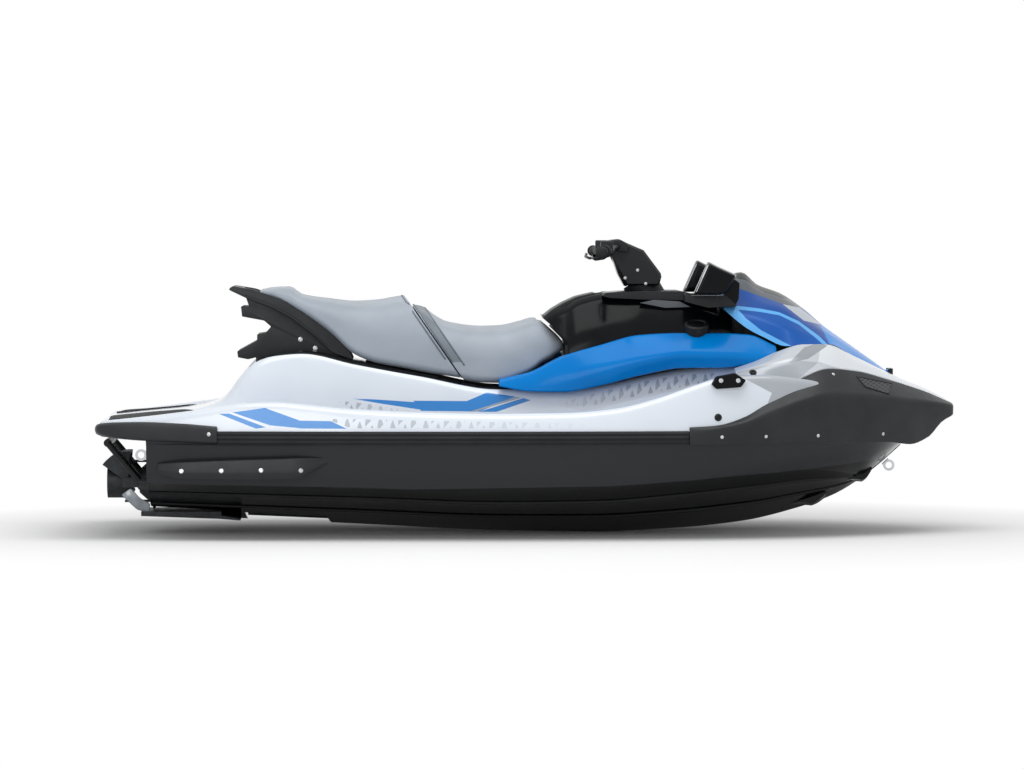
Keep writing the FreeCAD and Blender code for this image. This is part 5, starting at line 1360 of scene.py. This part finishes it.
grilleTree.links.new(mixColour(grilleTree, strandHeight, hexLinear(grille["gap"]),
                               hexLinear(grille["colour"])), grilleShader.inputs["Base Color"])
addBump(grilleTree, grilleShader, strandHeight, 0.002, 0.8)


def onBumper(u, v, out):
    a, b, c, d = (Vector(corner) for corner in grille["corners"])
    spot = a.lerp(b, u).lerp(d.lerp(c, u), v)
    point, normal = onSide(bumperTree, spot.x, spot.y)
    return point + normal * out / 1000


patchFront, patchBack = (
    [onBumper(n / grille["across"], r / grille["down"], out)
     for r in range(grille["down"] + 1) for n in range(grille["across"] + 1)]
    for out in (grille["proud"], -grille["sunk"]))
patchPlate = plate("grillePatch", patchFront, patchBack, grille["across"] + 1)
dressPair(patchPlate, grilleMesh)
rimSpots = [(n / 8, 0) for n in range(9)] + [(1, n / 4) for n in range(1, 5)]
rimSpots += [(1 - u, 1 - v) for u, v in rimSpots[1:]]
grilleRim = roundTube("grilleRim", [onBumper(u, v, 1) for u, v in rimSpots], grille["rim"])
dressPair(grilleRim, satinPlastic)

# Raised welts where the seat covers are sewn.
frontTree, rearTree = skinTree(frontSeat), skinTree(rearSeat)


def partingX(z, shift):
    (topX, topZ), (lowX, lowZ) = seats["partTop"], seats["partLow"]
    return lowX + (topX - lowX) * (z - lowZ) / (topZ - lowZ) + shift


welts = {"sunk": 0.6, "stepUp": 9, "stepAcross": 12, "topFrom": 150, "leastGap": 3}


def crossWelt(name, tree, shift, lowZ, highZ):
    # From the lower edge up the side and across the top to the middle, then its mirror image.
    path, sunk = [], welts["sunk"] / 1000
    for z in spaced(lowZ, highZ, welts["stepUp"]):
        point, normal = onSide(tree, partingX(z, shift), z)
        if point is not None:
            path.append(point - normal * sunk)
    topZ = highZ
    for y in spaced(welts["topFrom"], 0, welts["stepAcross"]):
        for _ in range(3):  # the parting leans, so its place depends on the height found
            point, normal = onTop(tree, partingX(topZ, shift), -y)
            if point is not None:
                topZ = point.z * 1000 + craft["draft"]
        if point is not None and abs(point.y) * 1000 < abs(path[-1].y) * 1000 - welts["leastGap"]:
            path.append(point - normal * sunk)
    far = [Vector((p.x, -p.y, p.z)) for p in reversed(path)]
    return roundTube(name, path + far[1:], seats["welt"])


for weltName, tree, shift, lowZ, highZ, body in (
        ("frontWelt", frontTree, 9, 640, 800, "seat_front_body"),
        ("frontStripWelt", frontTree, 42, 628, 780, "seat_front_body"),
        ("rearWelt", rearTree, -12, 650, 820, "seat_rear_body")):
    dress(crossWelt(weltName, tree, shift, lowZ, highZ), weltVinyl, body)
print("welts done")

# Faceted cheeks on both sides of the steering pole, which hide its joint with the base.
cheek = {"outline": [(362, 917), (320, 998), (300, 1040), (290, 1072), (300, 1086), (332, 1089),
                     (427, 1048), (495, 957), (486, 926), (486, 917)],
         "inner": 48, "outer": 71, "bossRoom": 66, "bossClear": 4, "bevel": 9}
cheekSkin = bevelled(prism("poleCheek", cheek["outline"], -cheek["outer"], -cheek["inner"]),
                     cheek["bevel"], 1, 20)
carve(cheekSkin, bar("bossClear", alongSteering(-90),
                     alongSteering(steering["bossTop"] + cheek["bossClear"]), cheek["bossRoom"]))
dressPair(cheekSkin, texturedPlastic, "steering")

# Painted shade: dark rubber walls round the storage bin under the hood, and a dark lip in front of the
# seat's nose, which fill the gaps there.
shadeFill = {"rear": ((742, -176, 628), (792, 176, 800)), "lipY": (168, 178),
        "lip": [(790, 640), (790, 776), (860, 742), (940, 706), (1010, 694), (1010, 640)],
        "nose": ((132, -205, 556), (152, 205, 702)), "slopeHalf": 150,
        "slope": [(90, 772), (141, 723), (152, 692), (152, 600), (138, 600), (139, 690), (132, 716),
                  (83.5, 765.5)]}
shadeFillParts = [block("shadeFillRear", *shadeFill["rear"], 4)]
for sign in (-1, 1):
    low, high = sorted(sign * y for y in shadeFill["lipY"])
    shadeFillParts.append(prism("shadeFillLip", shadeFill["lip"], low, high, 10, 2))
dress(joined("hoodShadeFill", shadeFillParts), rubber)
# painted shade: the dark lip fills the gap between the seat's nose and the console
noseShadeFill = [block("noseShadeFillLow", *shadeFill["nose"], 4),
           prism("noseShadeFillHigh", shadeFill["slope"], -shadeFill["slopeHalf"], shadeFill["slopeHalf"])]
dress(joined("consoleShadeFill", noseShadeFill), rubber)

# The feet of the mirrors on the rear corners of the hood.
footPlate = {"outline": [(566, 892), (592, 884), (716, 884), (757, 846), (650, 840), (566, 862)],
             "span": (-300, -196)}
mirrorFoot = prism("mirrorFoot", footPlate["outline"], *footPlate["span"], 4, 5)
dressPair(mirrorFoot, texturedPlastic, "hood_body")

# Switch housings, levers and the pad over the handlebar clamp.
controls = {
    "housing": (196, 246, 25),  # its inner and outer end along the bar, and its radius
    "lever": [(296, 218, 1036), (270, 236, 1020), (240, 262, 1016), (228, 310, 1022), (232, 356, 1030)],
    "leverRadius": 5.5, "clampHalf": 92, "flange": 23,
    "clamp": [(300, 1050), (292, 1084), (340, 1088), (372, 1066), (366, 1040)]}
startY, endY, housingRadius = controls["housing"]


def onBar(distance):
    # The middle of the starboard bar at this distance from the middle of the craft.
    share = (distance - handlebar["straight"]) / (gripStart + 4 - handlebar["straight"])
    return (barX + (gripX - barX) * share, -distance, barZ + (gripZ - barZ) * share)


housing = bar("switchHousing", onBar(startY), onBar(endY), housingRadius, 6)
housingX, _, housingZ = onBar((startY + endY) / 2)
switchBox = block("switchBox", (housingX - 22, -endY + 6, housingZ - 6),
                  (housingX + 24, -startY - 6, housingZ + 36), 5)
housing = joined("switchHousing", [housing, switchBox])
dressPair(housing, texturedPlastic, "steering")
lever = roundTube("brakeLever", [place(x, -y, z) for x, y, z in controls["lever"]], controls["leverRadius"])
dressPair(lever, nylon, "steering")
clampPad = prism("clampPad", controls["clamp"], -controls["clampHalf"], controls["clampHalf"], 6, 9)
dress(clampPad, texturedPlastic, "steering")
gripFlange = bar("gripFlange", onBar(gripStart - 2), onBar(gripStart + 4), controls["flange"], 2)
dressPair(gripFlange, rubber, "steering")
gripEnd = turned("gripEnd", (gripX - 14, -handlebar["half"] + 1, gripZ - 2), (0, -1, 0),
                 [(-6, 12), (-5, 20), (4, 21), (9, 16), (11, 6), (11, 0.5)])
dressPair(gripEnd, rubber, "steering")
print("controls done")

# Trim plates on the dash, the groove line on the grab handle and the rubber plugs.
dash = {"plate": [(406, 856), (458, 867), (553, 861), (593, 841), (498, 838), (443, 849)],
        "span": (-192, -150)}
trimPlate = prism("dashTrimPlate", dash["plate"], *dash["span"], 3, 3)
dressPair(trimPlate, greyPlastic)
handlePath = [point - normal * welts["sunk"] / 1000
              for point, normal in (onSide(handleTree, x, z) for x, z in arm["groove"])]
handleGroove = roundTube("handleGroove", handlePath, arm["grooveRadius"])
dressPair(handleGroove, nylon)
plugs = {"places": ((804, 608), (670, 450)), "radius": 11, "tall": 6}
plugTree = skinTree(deckSkin, noseSkin)
plugSeats = [onSide(plugTree, x, z) for x, z in plugs["places"]]
dress(screws("deckPlugs", plugSeats, plugs["radius"], plugs["tall"]), rubber, "hull_body")

# The cast bracket on the transom that carries the reverse linkage.
transomPlate = {"outline": [(-1497, 150), (-1440, 96), (-1396, 84), (-1390, 118), (-1430, 140),
                            (-1462, 176)], "span": (-128, -120)}
bracketPlate = prism("transomBracket", transomPlate["outline"], *transomPlate["span"], 8, 2)
plateTree = skinTree(bracketPlate)
dress(bracketPlate, castPlain)
print("trim done")

# Stainless button-head screws, proud of the panels that they hold: where, their radius and height.
screwPlaces = {
    "sponsonScrews": (sponsonTree, [(-1260, 258), (-1116, 260), (-973, 262), (-830, 262)], 6.5, 4),
    "handleScrews": (skinTree(bracketSkin), [(-838, 722), (-784, 690)], 6.5, 3.5),
    "bumperScrews": (bumperTree, [(683, 380), (845, 380), (1039, 380), (1289, 380), (1102, 600)], 5, 3),
    "sternScrews": (sternTree, [(-1160, 392)], 5.5, 3),
    "bracketBolt": (plateTree, [(-1468, 156)], 8, 4),
    "cleatScrews": (skinTree(cleatSkin), [(680, 583), (742, 583)], 6.5, 2.5),
    "poleScrews": (skinTree(cheekSkin), [(404, 975), (434, 925), (358, 946)], 4.5, 3)}
for screwName, (tree, spots, radius, tall) in screwPlaces.items():
    body = "steering" if screwName == "poleScrews" else "hull_body"
    screwSeats = [onSide(tree, x, z) for x, z in spots]
    dress(screws(screwName, screwSeats, radius, tall), stainless, body)
print("fittings done")

studio = {"centre": (-57.7, 0, 550.5), "azimuth": -1.5, "elevation": 2.0, "away": 18000,
          "mmPerPixel": 3.705, "frame": 1024, "sensor": 36, "fill": 0.5, "white": (0.75, 1.15),
          "shadowReach": (2.3, 1.9), "floorHalf": 40, "aim": (0, 0, 0.2),
          "softboxAbove": ((0.3, -1.5, 4.0), (5.0, 2.4), 112),  # place and size in metres, watts
          "softboxSide": ((-2.5, -5.0, 1.8), (3.0, 2.0), 50)}
cameraData = bpy.data.cameras.new("camera")
camera = newObject("camera", cameraData)
cameraData.sensor_width = studio["sensor"]
cameraData.lens = studio["sensor"] * studio["away"] / (studio["frame"] * studio["mmPerPixel"])
cameraData.clip_end = 100
azimuth, elevation = math.radians(studio["azimuth"]), math.radians(studio["elevation"])
back = Vector((math.sin(azimuth) * math.cos(elevation), -math.cos(azimuth) * math.cos(elevation),
               math.sin(elevation)))
target = studio["centre"]
camera.location = place(*target) + back * studio["away"] / 1000
camera.rotation_mode = "QUATERNION"
camera.rotation_quaternion = (-back).to_track_quat("-Z", "Y")
bpy.context.scene.camera = camera

for lampName in ("softboxAbove", "softboxSide"):
    location, size, watts = studio[lampName]
    data = bpy.data.lights.new(lampName, "AREA")
    data.shape = "RECTANGLE"
    data.size, data.size_y = size
    data.energy = watts
    lamp = newObject(lampName, data)
    lamp.location = location
    lamp.rotation_mode = "QUATERNION"
    lamp.rotation_quaternion = (Vector(studio["aim"]) - Vector(location)).to_track_quat("-Z", "Y")


def seenRay(tree):
    # 1 for what the camera sees, also in a reflection or through glass.
    rays = addNode(tree, "ShaderNodeLightPath").outputs
    mirrored = mathNode(tree, "MAXIMUM", rays["Is Glossy Ray"], rays["Is Transmission Ray"])
    return mathNode(tree, "MAXIMUM", rays["Is Camera Ray"], mirrored)


world = bpy.data.worlds.new("studioWhite")
bpy.context.scene.world = world
world.use_nodes = True
worldTree = world.node_tree
worldTree.nodes.clear()
light, shown = (addNode(worldTree, "ShaderNodeBackground", None, {
    "Color": (1, 1, 1, 1), "Strength": strength}).outputs[0] for strength in (studio["fill"], 1.0))
blend = addNode(worldTree, "ShaderNodeMixShader", None, {0: seenRay(worldTree), 1: light, 2: shown})
addNode(worldTree, "ShaderNodeOutputWorld", None, {"Surface": blend.outputs[0]})

# Painted board near the craft, where its shadow falls, which turns to plain white further out.
floorMaterial, floorTree, floorShader = newMaterial("studioFloorPainted", {
    "Base Color": (0.95, 0.95, 0.95, 1), "Roughness": 0.9, "Specular IOR Level": 0.0})
reachX, reachY = studio["shadowReach"]
floorPoint = addNode(floorTree, "ShaderNodeVectorMath", {"operation": "MULTIPLY"}, {
    0: objectPoint(floorTree), 1: (1 / reachX, 1 / reachY, 0.0)}).outputs[0]
floorOut = addNode(floorTree, "ShaderNodeVectorMath", {"operation": "LENGTH"},
                   {0: floorPoint}).outputs["Value"]
floorWhite = addNode(floorTree, "ShaderNodeEmission", None, {"Color": (1, 1, 1, 1), "Strength": 1.0})
floorShare = mathNode(floorTree, "MULTIPLY", seenRay(floorTree),
                      spread(floorTree, floorOut, 0, 1, *studio["white"]))
floorMix = addNode(floorTree, "ShaderNodeMixShader", None, {
    0: floorShare, 1: floorShader.outputs["BSDF"], 2: floorWhite.outputs["Emission"]})
floorOutput = next(node for node in floorTree.nodes if node.type == "OUTPUT_MATERIAL")
floorTree.links.new(floorMix.outputs[0], floorOutput.inputs["Surface"])
floorHeight, floorHalf = cadBox[0][2] - 0.001, studio["floorHalf"]
floor = meshObject("studioFloor", [(x * floorHalf, y * floorHalf, floorHeight) for x, y in (
    (-1, -1), (1, -1), (1, 1), (-1, 1))], [(0, 1, 2, 3)])
floor.data.materials.append(floorMaterial)

bpy.context.scene.view_settings.view_transform = "Standard"
print("studio done")
